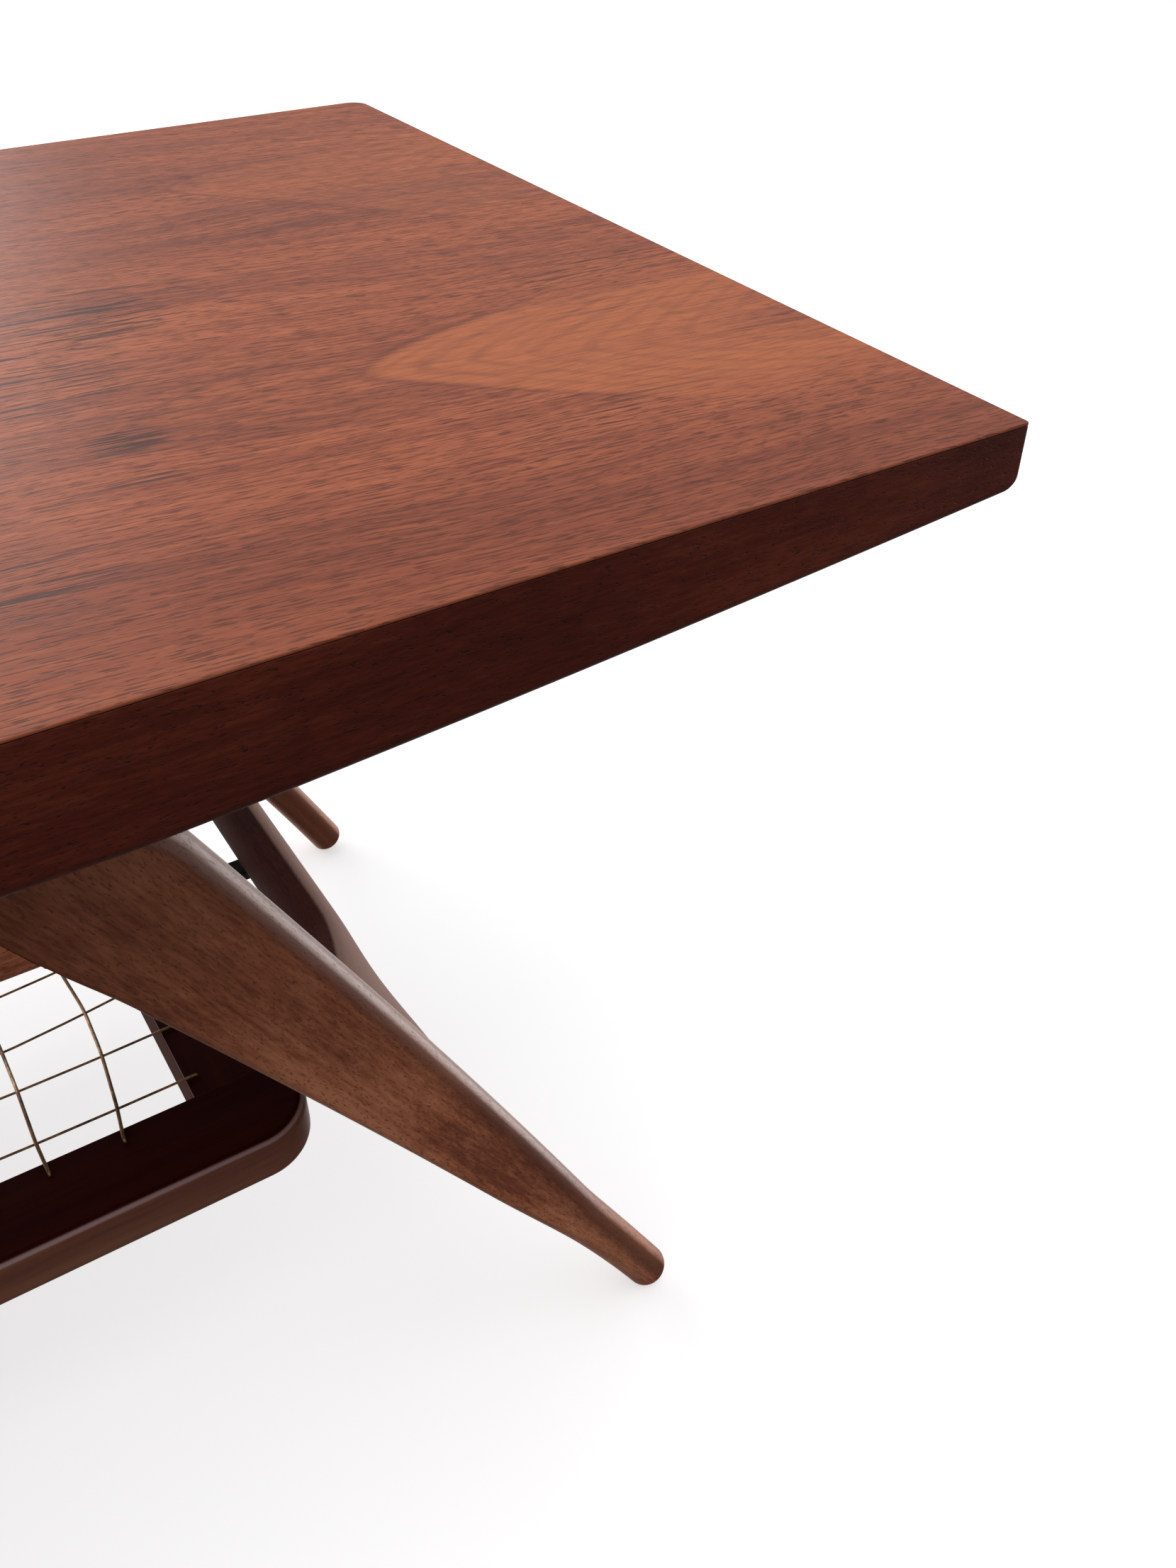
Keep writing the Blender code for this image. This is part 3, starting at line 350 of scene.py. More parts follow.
class Graph:
    """A material and short calls that add nodes to it."""

    def __init__(self, name, roughness=0.5, metallic=0.0, specular=0.5):
        self.material = bpy.data.materials.new(name)
        self.material.use_nodes = True
        self.tree = self.material.node_tree
        self.shader = self.tree.nodes["Principled BSDF"]
        self.shader.inputs["Roughness"].default_value = roughness
        self.shader.inputs["Metallic"].default_value = metallic
        self.shader.inputs["Specular IOR Level"].default_value = specular

    def feed(self, socket, value):
        if isinstance(value, bpy.types.NodeSocket):
            self.tree.links.new(value, socket)
        elif isinstance(value, (int, float)):
            socket.default_value = value
        elif len(socket.default_value) == len(value):
            socket.default_value = tuple(value)
        else:
            socket.default_value = (*value, 1.0)

    def place(self):
        return self.tree.nodes.new("ShaderNodeTexCoord").outputs["Object"]

    def normal(self):
        return self.tree.nodes.new("ShaderNodeNewGeometry").outputs["Normal"]

    def height(self):
        return self.split(self.place())[2]

    def outward(self, axis):
        """How squarely the surface faces away from the table's middle along an axis: 1 away, -1 toward."""
        side = self.math("SIGN", self.split(self.place())[axis])
        return self.math("MULTIPLY", side, self.split(self.normal())[axis])

    def attribute(self, name):
        node = self.tree.nodes.new("ShaderNodeAttribute")
        node.attribute_name = name
        return node.outputs["Fac"]

    def math(self, operation, first, second=0.0, third=0.0):
        node = self.tree.nodes.new("ShaderNodeMath")
        node.operation = operation
        for socket, value in zip(node.inputs, (first, second, third)):
            self.feed(socket, value)
        return node.outputs[0]

    def product(self, result, *factors):
        for factor in factors:
            result = self.math("MULTIPLY", result, factor)
        return result

    def total(self, *terms):
        """The sum of (value, factor) terms."""
        result = 0.0
        for value, factor in terms:
            result = self.math("MULTIPLY_ADD", value, factor, result)
        return result

    def turned(self, vector, angle):
        """The vector turned about Y."""
        node = self.tree.nodes.new("ShaderNodeVectorRotate")
        node.rotation_type = "Y_AXIS"
        self.feed(node.inputs["Vector"], vector)
        node.inputs["Angle"].default_value = angle
        return node.outputs[0]

    def split(self, vector):
        node = self.tree.nodes.new("ShaderNodeSeparateXYZ")
        self.feed(node.inputs[0], vector)
        return node.outputs

    def joined(self, x, y, z):
        node = self.tree.nodes.new("ShaderNodeCombineXYZ")
        for socket, value in zip(node.inputs, (x, y, z)):
            self.feed(socket, value)
        return node.outputs[0]

    def noise(self, vector, scale=1.0, detail=2.0, roughness=0.5):
        node = self.tree.nodes.new("ShaderNodeTexNoise")
        self.feed(node.inputs["Vector"], vector)
        node.inputs["Scale"].default_value = scale
        node.inputs["Detail"].default_value = detail
        node.inputs["Roughness"].default_value = roughness
        return node.outputs["Fac"]

    def stretched_noise(self, place, scales, detail=2.0, roughness=0.5):
        """Noise with its own scale along each axis."""
        node = self.tree.nodes.new("ShaderNodeVectorMath")
        node.operation = "MULTIPLY"
        self.feed(node.inputs[0], place)
        self.feed(node.inputs[1], scales)
        return self.noise(node.outputs[0], 1.0, detail, roughness)

    def span(self, value, low, high, to_low=0.0, to_high=1.0):
        """Eases from to_low to to_high while value goes from low to high."""
        node = self.tree.nodes.new("ShaderNodeMapRange")
        node.interpolation_type = "SMOOTHSTEP"
        for socket, number in zip(node.inputs, (value, low, high, to_low, to_high)):
            self.feed(socket, number)
        return node.outputs[0]

    def ramp(self, value, *stops):
        node = self.tree.nodes.new("ShaderNodeValToRGB")
        self.feed(node.inputs[0], value)
        elements = node.color_ramp.elements
        for _ in stops[2:]:
            elements.new(0.5)
        for element, (position, colour) in zip(elements, stops):
            element.position = position
            element.color = (*colour, 1.0)
        return node.outputs[0]

    def mix(self, share, first, second):
        node = self.tree.nodes.new("ShaderNodeMix")
        node.data_type = "RGBA"
        self.feed(node.inputs["Factor"], share)
        self.feed(node.inputs["A"], first)
        self.feed(node.inputs["B"], second)
        return node.outputs["Result"]

    def finish(self, colour, roughness, relief, depth):
        """Feeds the shader. depth is the height in metres that 1 of the relief stands for."""
        self.feed(self.shader.inputs["Base Color"], colour)
        self.feed(self.shader.inputs["Roughness"], roughness)
        bump = self.tree.nodes.new("ShaderNodeBump")
        bump.inputs["Distance"].default_value = depth
        self.feed(bump.inputs["Height"], relief)
        self.tree.links.new(bump.outputs[0], self.shader.inputs["Normal"])
        return self.material


def darker(colour, share):
    return [part * share for part in colour]


def fibres(graph, along, across, up, shift=0.0, pore_scale=PORE_SCALE):
    """Wood figure from a position split along and across the grain, in metres.

    Gives tone (broad, slow), bands (growth layers), fine (single fibres) and pores (short dark dashes)."""
    along = graph.math("ADD", along, shift)
    wander = graph.stretched_noise(graph.joined(along, across, up), WANDER_SCALE, 1.0)
    across = graph.math("MULTIPLY_ADD", graph.math("SUBTRACT", wander, 0.5), GRAIN_WANDER, across)
    place = graph.joined(along, across, up)
    tone = graph.stretched_noise(place, TONE_SCALE)
    bands = graph.stretched_noise(place, BAND_SCALE, 3.0, 0.6)
    fine = graph.stretched_noise(place, FIBRE_SCALE, 2.0, 0.6)
    pores = graph.stretched_noise(place, pore_scale, 1.0)
    return tone, bands, fine, graph.span(pores, 0.60, 0.70)


def grain_place(graph, grain):
    """(along, across, up) for fibres along an axis, or leaning in the XZ plane by an angle from upright."""
    place = graph.place()
    if grain in ("x", "y", "z"):
        x, y, z = graph.split(place)
        return {"x": (x, y, z), "y": (y, x, z), "z": (z, x, y)}[grain]
    x, y, z = graph.split(graph.turned(place, grain))
    return z, x, y


def wood(name, dark, middle, light, grain, roughness, shift):
    """Plain straight-grained wood. roughness is its lowest and highest."""
    graph = Graph(name)
    smoothest, roughest = roughness
    tone, bands, fine, pores = fibres(graph, *grain_place(graph, grain), shift)
    figure = graph.math("SUBTRACT", graph.total((tone, 0.55), (bands, 0.75), (fine, 0.45)), 0.375)
    colour = graph.ramp(figure, (0.30, dark), (0.50, middle), (0.72, light))
    colour = graph.mix(graph.product(pores, 0.45), colour, darker(dark, 0.35))
    rough = graph.math("ADD", graph.total((bands, 0.12), (fine, 0.10)), smoothest - 0.06)
    rough = graph.math("MINIMUM", graph.math("MAXIMUM", rough, smoothest), roughest)
    relief = graph.total((fine, 0.5), (bands, 0.2), (pores, -0.6))
    return graph.finish(colour, rough, relief, WOOD_RELIEF)


def crowned(graph, colour, grit, dark, highlight_colour):
    """Colour of a leg: painted shade toward its top under the tabletop and on its inner side, a painted
    highlight on its crown and painted shade beside it.
    """
    crown = graph.attribute("crown_light")
    height = graph.height()
    # Painted shade in a band beside the crown, and toward the top of the leg under the tabletop
    crown_side_shade = graph.product(graph.span(crown, 0.0, 0.50), graph.span(crown, 0.74, 0.92, 1.0, 0.0), 0.80)
    shade_under_top = graph.span(height, SHADED_ABOVE_Z, FRAME_TOP_Z, 0.0, 0.60)
    colour = graph.mix(graph.math("MAXIMUM", crown_side_shade, shade_under_top), colour, darker(dark, 0.40))
    # Painted shade on the side of the leg that faces the table's middle
    inner_side_shade = graph.span(graph.outward(1), -0.90, -0.50, 0.80, 0.0)
    colour = graph.mix(inner_side_shade, colour, darker(dark, 0.60))
    # Painted highlight along the crown, fading out toward the floor
    crown_highlight = graph.product(
        graph.span(crown, 0.76, 0.95),
        graph.span(grit, 0.30, 0.62, 0.70, 1.0),
        graph.span(crown, 0.96, 1.0, 1.0, 0.30),
        graph.span(height, *CROWN_HIGHLIGHT_Z, 0.30, 1.0),
    )
    return graph.mix(crown_highlight, colour, highlight_colour)


def oiled_teak(name, dark, middle, light, grain, shift, crown=None, sheen=None, specular=0.25, matt=0.34):
    """Oiled solid teak with short pores and soft clouds.

    The crown colour is a painted highlight on the crown of a leg, and the flank colour a painted sheen on the
    upper, outer and lower flanks of a rail."""
    graph = Graph(name, specular=specular)
    along, across, up = grain_place(graph, grain)
    tone, bands, _, pores = fibres(graph, along, across, up, shift, SHORT_PORE_SCALE)
    place = graph.joined(graph.math("ADD", along, shift), across, up)
    clouds = graph.stretched_noise(place, CLOUD_SCALE)
    grit = graph.stretched_noise(place, GRIT_SCALE, 2.0, 0.65)
    figure = graph.total((tone, 0.50), (clouds, 0.75), (bands, 0.55), (grit, 0.55))
    figure = graph.math("SUBTRACT", figure, 0.675)
    colour = graph.ramp(figure, (0.32, dark), (0.50, middle), (0.70, light))
    if crown:
        colour = crowned(graph, colour, grit, dark, crown)
    if sheen:
        # Painted sheen: lighter where the stretcher faces up and out and where it faces down, with fewer
        # pores there
        upward = graph.split(graph.normal())[2]
        raised = graph.span(graph.total((upward, 0.85), (graph.outward(0), 0.53)), 0.42, 0.80)
        lit = graph.math("MAXIMUM", raised, graph.span(upward, -0.80, -0.40, 0.4, 0.0))
        colour = graph.mix(lit, colour, sheen)
        pores = graph.product(pores, graph.math("MULTIPLY_ADD", lit, -0.8, 1.0))
    colour = graph.mix(graph.product(pores, 0.62), colour, darker(dark, 0.35))
    rough = graph.math("ADD", graph.total((clouds, 0.12), (grit, 0.12)), matt)
    relief = graph.total((grit, 0.5), (bands, 0.2), (pores, -0.8))
    return graph.finish(colour, rough, relief, WOOD_RELIEF)


def stained_teak(name, dark, middle, light, grain, shift):
    """Lacquered rack wood: dark stain with painted shade from the tabletop on top, a painted highlight line
    along its rounded arris, browner on its sides, with painted shade on its inner faces.
    """
    graph = Graph(name, specular=0.06)
    tone, bands, fine, _ = fibres(graph, *grain_place(graph, grain), shift)
    figure = graph.math("SUBTRACT", graph.total((tone, 0.70), (bands, 0.55), (fine, 0.20)), 0.22)
    top = graph.ramp(figure, (0.30, dark), (0.50, middle), (0.72, light))
    side = graph.ramp(figure, (0.30, RACK_SIDE_DARK), (0.50, RACK_SIDE), (0.72, RACK_SIDE_LIGHT))
    # The top takes the darker colours, partly as painted shade under the tabletop
    level = graph.math("ABSOLUTE", graph.split(graph.normal())[2])
    colour = graph.mix(graph.span(level, 0.55, 0.95, 1.0, 0.0), top, side)
    # Painted shade on the inner upright faces of the rails
    inward = graph.span(graph.outward(0), -0.9, -0.5, 0.62, 0.0)
    colour = graph.mix(inward, colour, RACK_SIDE_DARK)
    # Painted highlight line along the rounded top arris
    highlight_line = graph.product(
        graph.span(level, 0.50, 0.66),
        graph.span(level, 0.72, 0.90, 1.0, 0.0),
        graph.span(bands, 0.30, 0.60, 0.45, 0.90),
    )
    colour = graph.mix(highlight_line, colour, RACK_ARRIS_HIGHLIGHT)
    rough = graph.math("ADD", graph.total((tone, 0.10), (bands, 0.06), (inward, 0.85)), 0.30)
    relief = graph.total((bands, 0.4), (fine, 0.3))
    return graph.finish(colour, rough, relief, LACQUER_RELIEF)


def flame(graph, x, y, tip_x, tip_y, half_width, bow, drift, side):
    """A cathedral figure. side is 1 if its tip points to -X and -1 if to +X.

    drift moves its middle behind the tip. Gives the distance inside its outline, and the share of its
    influence."""
    ahead = graph.product(graph.math("SUBTRACT", x, tip_x), side)
    middle = graph.span(ahead, 0.0, FLAME_DRIFT_LENGTH, tip_y, tip_y + drift)
    off = graph.math("ABSOLUTE", graph.math("DIVIDE", graph.math("SUBTRACT", y, middle), half_width))
    inside = graph.math("SUBTRACT", ahead, graph.product(graph.math("POWER", off, FLAME_POINT), bow))
    return inside, graph.span(off, 1.0, 1.9, 1.0, 0.0)


def top_flames(graph, colour, x, y, slow, fine):
    """Lays the cathedral figures over the colour. Also gives where the wood is plain: 1 outside them."""
    plain = 1.0
    for *shape, strength in TOP_FLAMES:
        inside, near = flame(graph, x, y, *shape)
        body = graph.product(
            graph.span(inside, -0.003, 0.008), near, graph.span(inside, 0.08, 0.22, 1.0, 0.0)
        )
        glow = graph.product(body, graph.span(fine, 0.35, 0.60, 0.6 * strength, strength))
        colour = graph.mix(glow, colour, FLAME_COLOUR)
        plain = graph.product(plain, graph.math("MULTIPLY_ADD", body, -0.85 * strength, 1.0))
        rim = graph.product(graph.span(inside, -0.034, -0.006), graph.span(inside, 0.0, 0.014, 1.0, 0.0))
        phase = graph.math("MULTIPLY_ADD", slow, 7.0, graph.product(inside, FLAME_LAYER_RATE))
        layers = graph.span(graph.math("SINE", phase), 0.3, 1.0)
        lines = graph.product(layers, graph.math("MAXIMUM", body, rim), near, 0.20)
        colour = graph.mix(lines, colour, FLAME_LINE)
        outline = graph.product(
            graph.span(inside, -0.0045, -0.001), graph.span(inside, 0.0, 0.003, 1.0, 0.0), near, 0.45
        )
        colour = graph.mix(outline, colour, FLAME_LINE)
    return colour, plain


def top_streaks(graph, x, y, bent_y):
    """Dark streaks in clusters: some by chance, and one at each of TOP_STREAKS."""
    streaks = graph.stretched_noise(graph.joined(x, bent_y, 0.0), STREAK_SCALE, 2.0, 0.6)
    where = graph.stretched_noise(graph.joined(x, y, 0.3), CLUSTER_SCALE, 1.0)
    where = graph.span(where, 0.60, 0.74)
    for spot_x, spot_y, reach_x, reach_y in TOP_STREAKS:
        off_x = graph.math("DIVIDE", graph.math("SUBTRACT", x, spot_x), reach_x)
        off_y = graph.math("DIVIDE", graph.math("SUBTRACT", y, spot_y), reach_y)
        away = graph.math("ADD", graph.product(off_x, off_x), graph.product(off_y, off_y))
        spot = graph.span(away, 0.1, 1.0, 1.0, 0.0)
        where = graph.math("MAXIMUM", where, spot)
        streaks = graph.math("MULTIPLY_ADD", spot, 0.10, streaks)
    return graph.product(graph.span(streaks, 0.55, 0.60), where)


def top_teak():
    """Veneer of the top: reddish teak with flame figure, dark pores, painted shade toward its near side and a
    worn arris with a painted highlight.
    """
    graph = Graph("teak_veneer", specular=0.25)
    x, y, z = graph.split(graph.place())
    slow = graph.stretched_noise(graph.joined(x, y, 0.0), SLOW_SCALE)
    slow = graph.math("SUBTRACT", slow, 0.5)
    wavy_y = graph.math("MULTIPLY_ADD", slow, 0.012, y)
    bent_y = graph.math("MULTIPLY_ADD", slow, 0.030, y)
    bent_y = graph.math("MULTIPLY_ADD", graph.product(x, x), 0.10, bent_y)
    tone, bands, fine, pores = fibres(graph, x, bent_y, 0.0, pore_scale=TOP_PORE_SCALE)
    figure = graph.math("SUBTRACT", graph.total((tone, 0.46), (bands, 0.56), (fine, 0.62)), 0.32)
    colour = graph.ramp(figure, *TOP_COLOURS)
    colour, plain = top_flames(graph, colour, x, wavy_y, slow, fine)
    # Painted shade toward the near side of the top
    near_shade = graph.math("MULTIPLY_ADD", slow, 0.10, y)
    near_shade = graph.span(near_shade, -HALF_WIDTH, -0.6 * HALF_WIDTH, 0.42, 0.0)
    colour = graph.mix(near_shade, colour, TOP_NEAR_SHADE)
    cluster = top_streaks(graph, x, y, bent_y)
    colour = graph.mix(graph.product(cluster, 0.82), colour, TOP_STREAK)
    dashes = graph.stretched_noise(graph.joined(x, bent_y, 0.0), DASH_SCALE, 1.0)
    dashes = graph.product(graph.span(dashes, 0.56, 0.62), plain)
    colour = graph.mix(graph.product(dashes, 0.72), colour, TOP_DASH)
    colour = graph.mix(graph.product(pores, plain, 0.70), colour, TOP_PORE)
    chafed = graph.stretched_noise(graph.joined(x, y, z), CHAFE_SCALE, 3.0, 0.7)
    # Lighter in patches along the top arris: wear and a painted highlight
    arris = graph.span(z, HEIGHT - 1.5 * VENEER_ARRIS, HEIGHT - 0.25 * VENEER_ARRIS, 1.0, 0.0)
    worn = graph.product(arris, graph.span(chafed, 0.30, 0.55, 0.45, 1.0))
    colour = graph.mix(worn, colour, TOP_WORN_AND_SHEEN_ARRIS)
    rough = graph.math("ADD", graph.total((tone, 0.14), (bands, 0.10), (fine, 0.10)), 0.27)
    relief = graph.total((fine, 0.5), (bands, 0.25), (dashes, -0.9), (cluster, -0.6))
    return graph.finish(colour, rough, relief, TOP_RELIEF)


def brass():
    graph = Graph("aged_brass_wire", metallic=0.85)
    patches = graph.stretched_noise(graph.place(), (90.0, 90.0, 90.0), 3.0, 0.6)
    specks = graph.stretched_noise(graph.place(), (700.0, 700.0, 700.0))
    mixed = graph.total((patches, 0.7), (specks, 0.3))
    colour = graph.ramp(mixed, *BRASS_COLOURS)
    rough = graph.span(mixed, 0.35, 0.65, 0.58, 0.34)
    return graph.finish(colour, rough, specks, METAL_RELIEF)


def black_paint():
    graph = Graph("black_painted_steel")
    grit = graph.noise(graph.place(), 900.0, 3.0, 0.6)
    patches = graph.noise(graph.place(), 120.0)
    colour = graph.ramp(patches, *PAINT_COLOURS)
    rough = graph.span(patches, 0.3, 0.7, 0.36, 0.55)
    return graph.finish(colour, rough, grit, PAINT_RELIEF)


def screw_metal():
    graph = Graph("zinc_screw", metallic=1.0)
    patches = graph.noise(graph.place(), 350.0, 3.0, 0.6)
    colour = graph.ramp(patches, *ZINC_COLOURS)
    rough = graph.span(patches, 0.35, 0.65, 0.50, 0.30)
    return graph.finish(colour, rough, patches, METAL_RELIEF)


# --- shapes ---


def rounded_plan(half_x, half_y, near_radius, far_radius, inset, steps):
    """Points round a rectangle, anticlockwise, moved in by inset."""
    points = []
    near = ((-1, -1, near_radius, 180), (1, -1, near_radius, 270))
    far = ((1, 1, far_radius, 0), (-1, 1, far_radius, 90))
    for sign_x, sign_y, radius, start in near + far:
        for k in range(steps + 1):
            angle = math.radians(start + 90 * k / steps)
            x = sign_x * (half_x - radius) + (radius - inset) * math.cos(angle)
            y = sign_y * (half_y - radius) + (radius - inset) * math.sin(angle)
            points.append((x, y))
    return points


def make_veneer(material):
    rings = []
    stack = [(TOP_LOW.z, 0.0)]
    stack += [
        (HEIGHT - distance, quarter_round(VENEER_ARRIS, distance))
        for distance in reversed(quarter_steps(VENEER_ARRIS, 4))
    ]
    for z, inset in stack:
        plan = rounded_plan(HALF_LENGTH, HALF_WIDTH, NEAR_CORNER_RADIUS, FAR_CORNER_RADIUS, inset, 12)
        rings.append([(x, y, z) for x, y in plan])
    show("teak_top", loft_mesh("teak_top", rings), material, "top_teak", "top_veneer", smooth_angle=50)


def lipping_depth(from_end):
    left = max(0.0, 1.0 - from_end / LIPPING_TAPER_LENGTH) ** LIPPING_TAPER_POWER
    return LIPPING_MID_DEPTH - (LIPPING_MID_DEPTH - LIPPING_END_DEPTH) * left


def lipping_ring(x, side, corner_radius):
    from_end = HALF_LENGTH - abs(x)
    outer = HALF_WIDTH - quarter_round(corner_radius, from_end)
    inner = HALF_WIDTH - LIPPING_WIDTH
    bottom = HEIGHT - lipping_depth(from_end) + quarter_round(LIPPING_BOTTOM_RADIUS, from_end)
    radius = LIPPING_BOTTOM_RADIUS
    arris = LIPPING_TOP_ARRIS
    points = [(inner, BOARD_TOP_Z), (outer - arris, BOARD_TOP_Z), (outer, BOARD_TOP_Z - arris)]
    for step in range(11):
        angle = math.radians(9 * step)
        points.append((outer - radius + radius * math.cos(angle), bottom + radius - radius * math.sin(angle)))
    points += [(inner + LIPPING_INNER_CHAMFER, bottom), (inner, bottom + LIPPING_INNER_CHAMFER)]
    return [(x, side * across, up) for across, up in points]


def make_lipping(name_y, side, corner_radius, material):
    round_part = max(corner_radius, LIPPING_BOTTOM_RADIUS)
    stations = quarter_steps(round_part, 12)
    tapered = LIPPING_TAPER_LENGTH - round_part
    stations += [round_part + tapered * k / 30 for k in range(1, 31)]
    ends = [HALF_LENGTH - distance for distance in stations]
    rings = [lipping_ring(x, side, corner_radius) for x in [-x for x in ends] + list(reversed(ends))]
    name = f"{name_y}_long_edge"
    show(name, loft_mesh(name, rings), material, "edge_teak", f"{name_y}_lipping", smooth_angle=50)


def leg_half(z):
    up = z - LEG_TAPER_START_Z
    return LEG_FOOT_HALF + LEG_TAPER * (up + math.hypot(up, LEG_TAPER_SOFTNESS)) / 2


def leg_edges(z):
    """Inner and outer x of the right leg at height z, below the rail."""
    middle = LEG_SPLIT_X + (LEG_SPLIT_Z - z) * LEG_LEAN
    share = max(0.0, (z - LEG_TAPER_START_Z) / (LEG_SPLIT_Z - LEG_TAPER_START_Z))
    middle += LEG_BELLY * math.sin(math.pi * share)
    middle -= FOOT_TUCK * max(0.0, 1 - z / LEG_TAPER_START_Z) ** 1.5
    return middle - leg_half(z), middle + leg_half(z)


def leg_section(width, half, cap, inner_along, inner_across, flat_end):
    """(distance along, y, share for the painted crown shade and highlight) round a leg. flat_end turns the
    full round outer end into a flat one.
    """
    points = []
    steps = 24
    for step in range(steps + 1):
        angle = math.radians(-90 + 180 * step / steps)
        oval = (width - cap + cap * math.cos(angle), half * math.sin(angle))
        side = -1 if step < steps / 2 else 1
        corner = math.radians(90 * abs(step - steps / 2) / (steps / 2))
        box = (width - ARRIS + ARRIS * math.cos(corner), side * (half - ARRIS + ARRIS * math.sin(corner)))
        if step == steps / 2:
            box = (width, 0.0)
        along = blend(oval[0], box[0], flat_end)
        across = blend(oval[1], box[1], flat_end)
        # The third number places the painted crown shade and highlight: 0.25 where the crown starts, 1 at its
        # middle
        points.append((along, across, 0.25 + 0.75 * math.sin(math.radians(180 * step / steps))))
    shade_end = max(inner_along, width - cap - CROWN_SHADE)
    points.append((shade_end, half, 0.0))
    for start, sign in ((90, 1), (180, -1)):
        for step in range(9):
            angle = math.radians(start + 90 * step / 8)
            along = inner_along + inner_along * math.cos(angle)
            across = sign * (half - inner_across) + inner_across * math.sin(angle)
            points.append((along, across, 0.0))
    points.append((shade_end, -half, 0.0))
    return points


def leg_low_ring(z, shrink=1.0):
    """Section of the leg below the rail: level at the top, and square with the leg at its foot."""
    inner, outer = leg_edges(z)
    tilt = blend(LEG_ANGLE, 0.0, (z - TILT_LOW_Z) / (TILT_HIGH_Z - TILT_LOW_Z))
    roundness = 1.0 - min(1.0, z / ROUND_BELOW_Z)
    half = blend(HALF_THICK, FOOT_RADIUS, roundness) * shrink
    middle = (inner + outer) / 2
    reach = (outer - inner) / 2 * math.cos(LEG_ANGLE) / math.cos(LEG_ANGLE - tilt) * shrink
    cap = min(blend(OUTER_CAP, reach, roundness), reach)
    crisp = 1.0
    if z > LEG_SPLIT_Z - CRISP_LENGTH:
        crisp = blend(1.0, CRISP_SHARE, (z - LEG_SPLIT_Z + CRISP_LENGTH) / CRISP_LENGTH)
    inner_along = min(blend(ARRIS, reach, roundness) * crisp, 2 * reach - cap)
    inner_across = min(blend(ARRIS, half, roundness) * crisp, half)
    ring = []
    for along, across, crown_light in leg_section(2 * reach, half, cap, inner_along, inner_across, 0.0):
        out = along - reach
        ring.append((middle + out * math.cos(tilt), across, z + out * math.sin(tilt), crown_light))
    return ring


def foot_rings():
    """The rounded cap of the foot, from its tip upward, flat where it meets the floor."""
    rings = []
    for step in range(12):
        angle = math.radians(84 * (1 - step / 12))
        along = FOOT_CAP_LENGTH * math.sin(angle)
        out, down = along * math.sin(LEG_ANGLE), along * math.cos(LEG_ANGLE)
        ring = leg_low_ring(FOOT_END_Z, math.cos(angle))
        rings.append([(x + out, y, max(0.0, z - down), crown_light) for x, y, z, crown_light in ring])
    return rings


def shoulder_reach(angle):
    """Distance from the inner corner to the outline of the shoulder, and the slant at which it is met."""
    start_x, outer_x = leg_edges(LEG_SPLIT_Z)
    ray_x, ray_z = math.cos(angle), math.sin(angle)
    lean = math.atan(LEG_OUTER_LEAN)
    centre_z = FRAME_TOP_Z - SHOULDER_RADIUS
    turn_z = centre_z + SHOULDER_RADIUS * math.sin(lean)
    turn_x = outer_x - (turn_z - LEG_SPLIT_Z) * LEG_OUTER_LEAN
    centre_x = turn_x - SHOULDER_RADIUS * math.cos(lean)
    normal = (math.cos(lean), math.sin(lean))
    facing = ray_x * normal[0] + ray_z * normal[1]
    if facing > 0:
        reach = (outer_x - start_x) * normal[0] / facing
        if LEG_SPLIT_Z + reach * ray_z <= turn_z:
            return reach, facing
    off_x, off_z = start_x - centre_x, LEG_SPLIT_Z - centre_z
    along = off_x * ray_x + off_z * ray_z
    inside = along * along - (off_x**2 + off_z**2 - SHOULDER_RADIUS**2)
    if inside > 0:
        reach = -along + math.sqrt(inside)
        hit_x = start_x + reach * ray_x
        if hit_x >= centre_x:
            hit_z = LEG_SPLIT_Z + reach * ray_z
            facing = ((hit_x - centre_x) * ray_x + (hit_z - centre_z) * ray_z) / SHOULDER_RADIUS
            return reach, facing
    return (FRAME_TOP_Z - LEG_SPLIT_Z) / ray_z, ray_z


def leg_shoulder_ring(angle, seam_angle):
    """Section of the shoulder along a ray from its inner corner, from level up to the slanted seam."""
    reach, facing = shoulder_reach(angle)
    start_x = leg_edges(LEG_SPLIT_Z)[0]
    depth = OUTER_CAP * math.cos(math.atan(LEG_OUTER_LEAN))
    cap = min(depth / max(0.3, facing), 0.45 * reach)
    crisp = ARRIS * CRISP_SHARE
    flat_end = angle / seam_angle * 1.15 - 0.15
    section = leg_section(reach, HALF_THICK, cap, crisp, crisp, flat_end)
    ring = []
    for along, across, crown_light in section:
        x = start_x + along * math.cos(angle)
        z = LEG_SPLIT_Z + along * math.sin(angle)
        ring.append((x, across, z, crown_light))
    return ring


def make_legs(materials):
    heights = [FOOT_END_Z + (LEG_SPLIT_Z - FOOT_END_Z) * k / 60 for k in range(61)]
    seam_angle = math.radians(90) + math.atan(LEG_INNER_LEAN)
    rings = foot_rings() + [leg_low_ring(z) for z in heights]
    rings += [leg_shoulder_ring(seam_angle * k / 30, seam_angle) for k in range(1, 31)]
    crown_light = [[point[3] for point in ring] for ring in rings]
    for name_y, side_y in SIDES_Y:
        for name_x, side_x in SIDES_X:
            name = f"shaped_leg_{name_y}_{name_x}"
            placed = [[(side_x * x, side_y * FRAME_Y + y, z) for x, y, z, _ in ring] for ring in rings]
            mesh = loft_mesh(name, placed, crown_light)
            show(name, mesh, materials[name_x], "leg_wood", f"leg_{name_y}_{name_x}", smooth_angle=48)


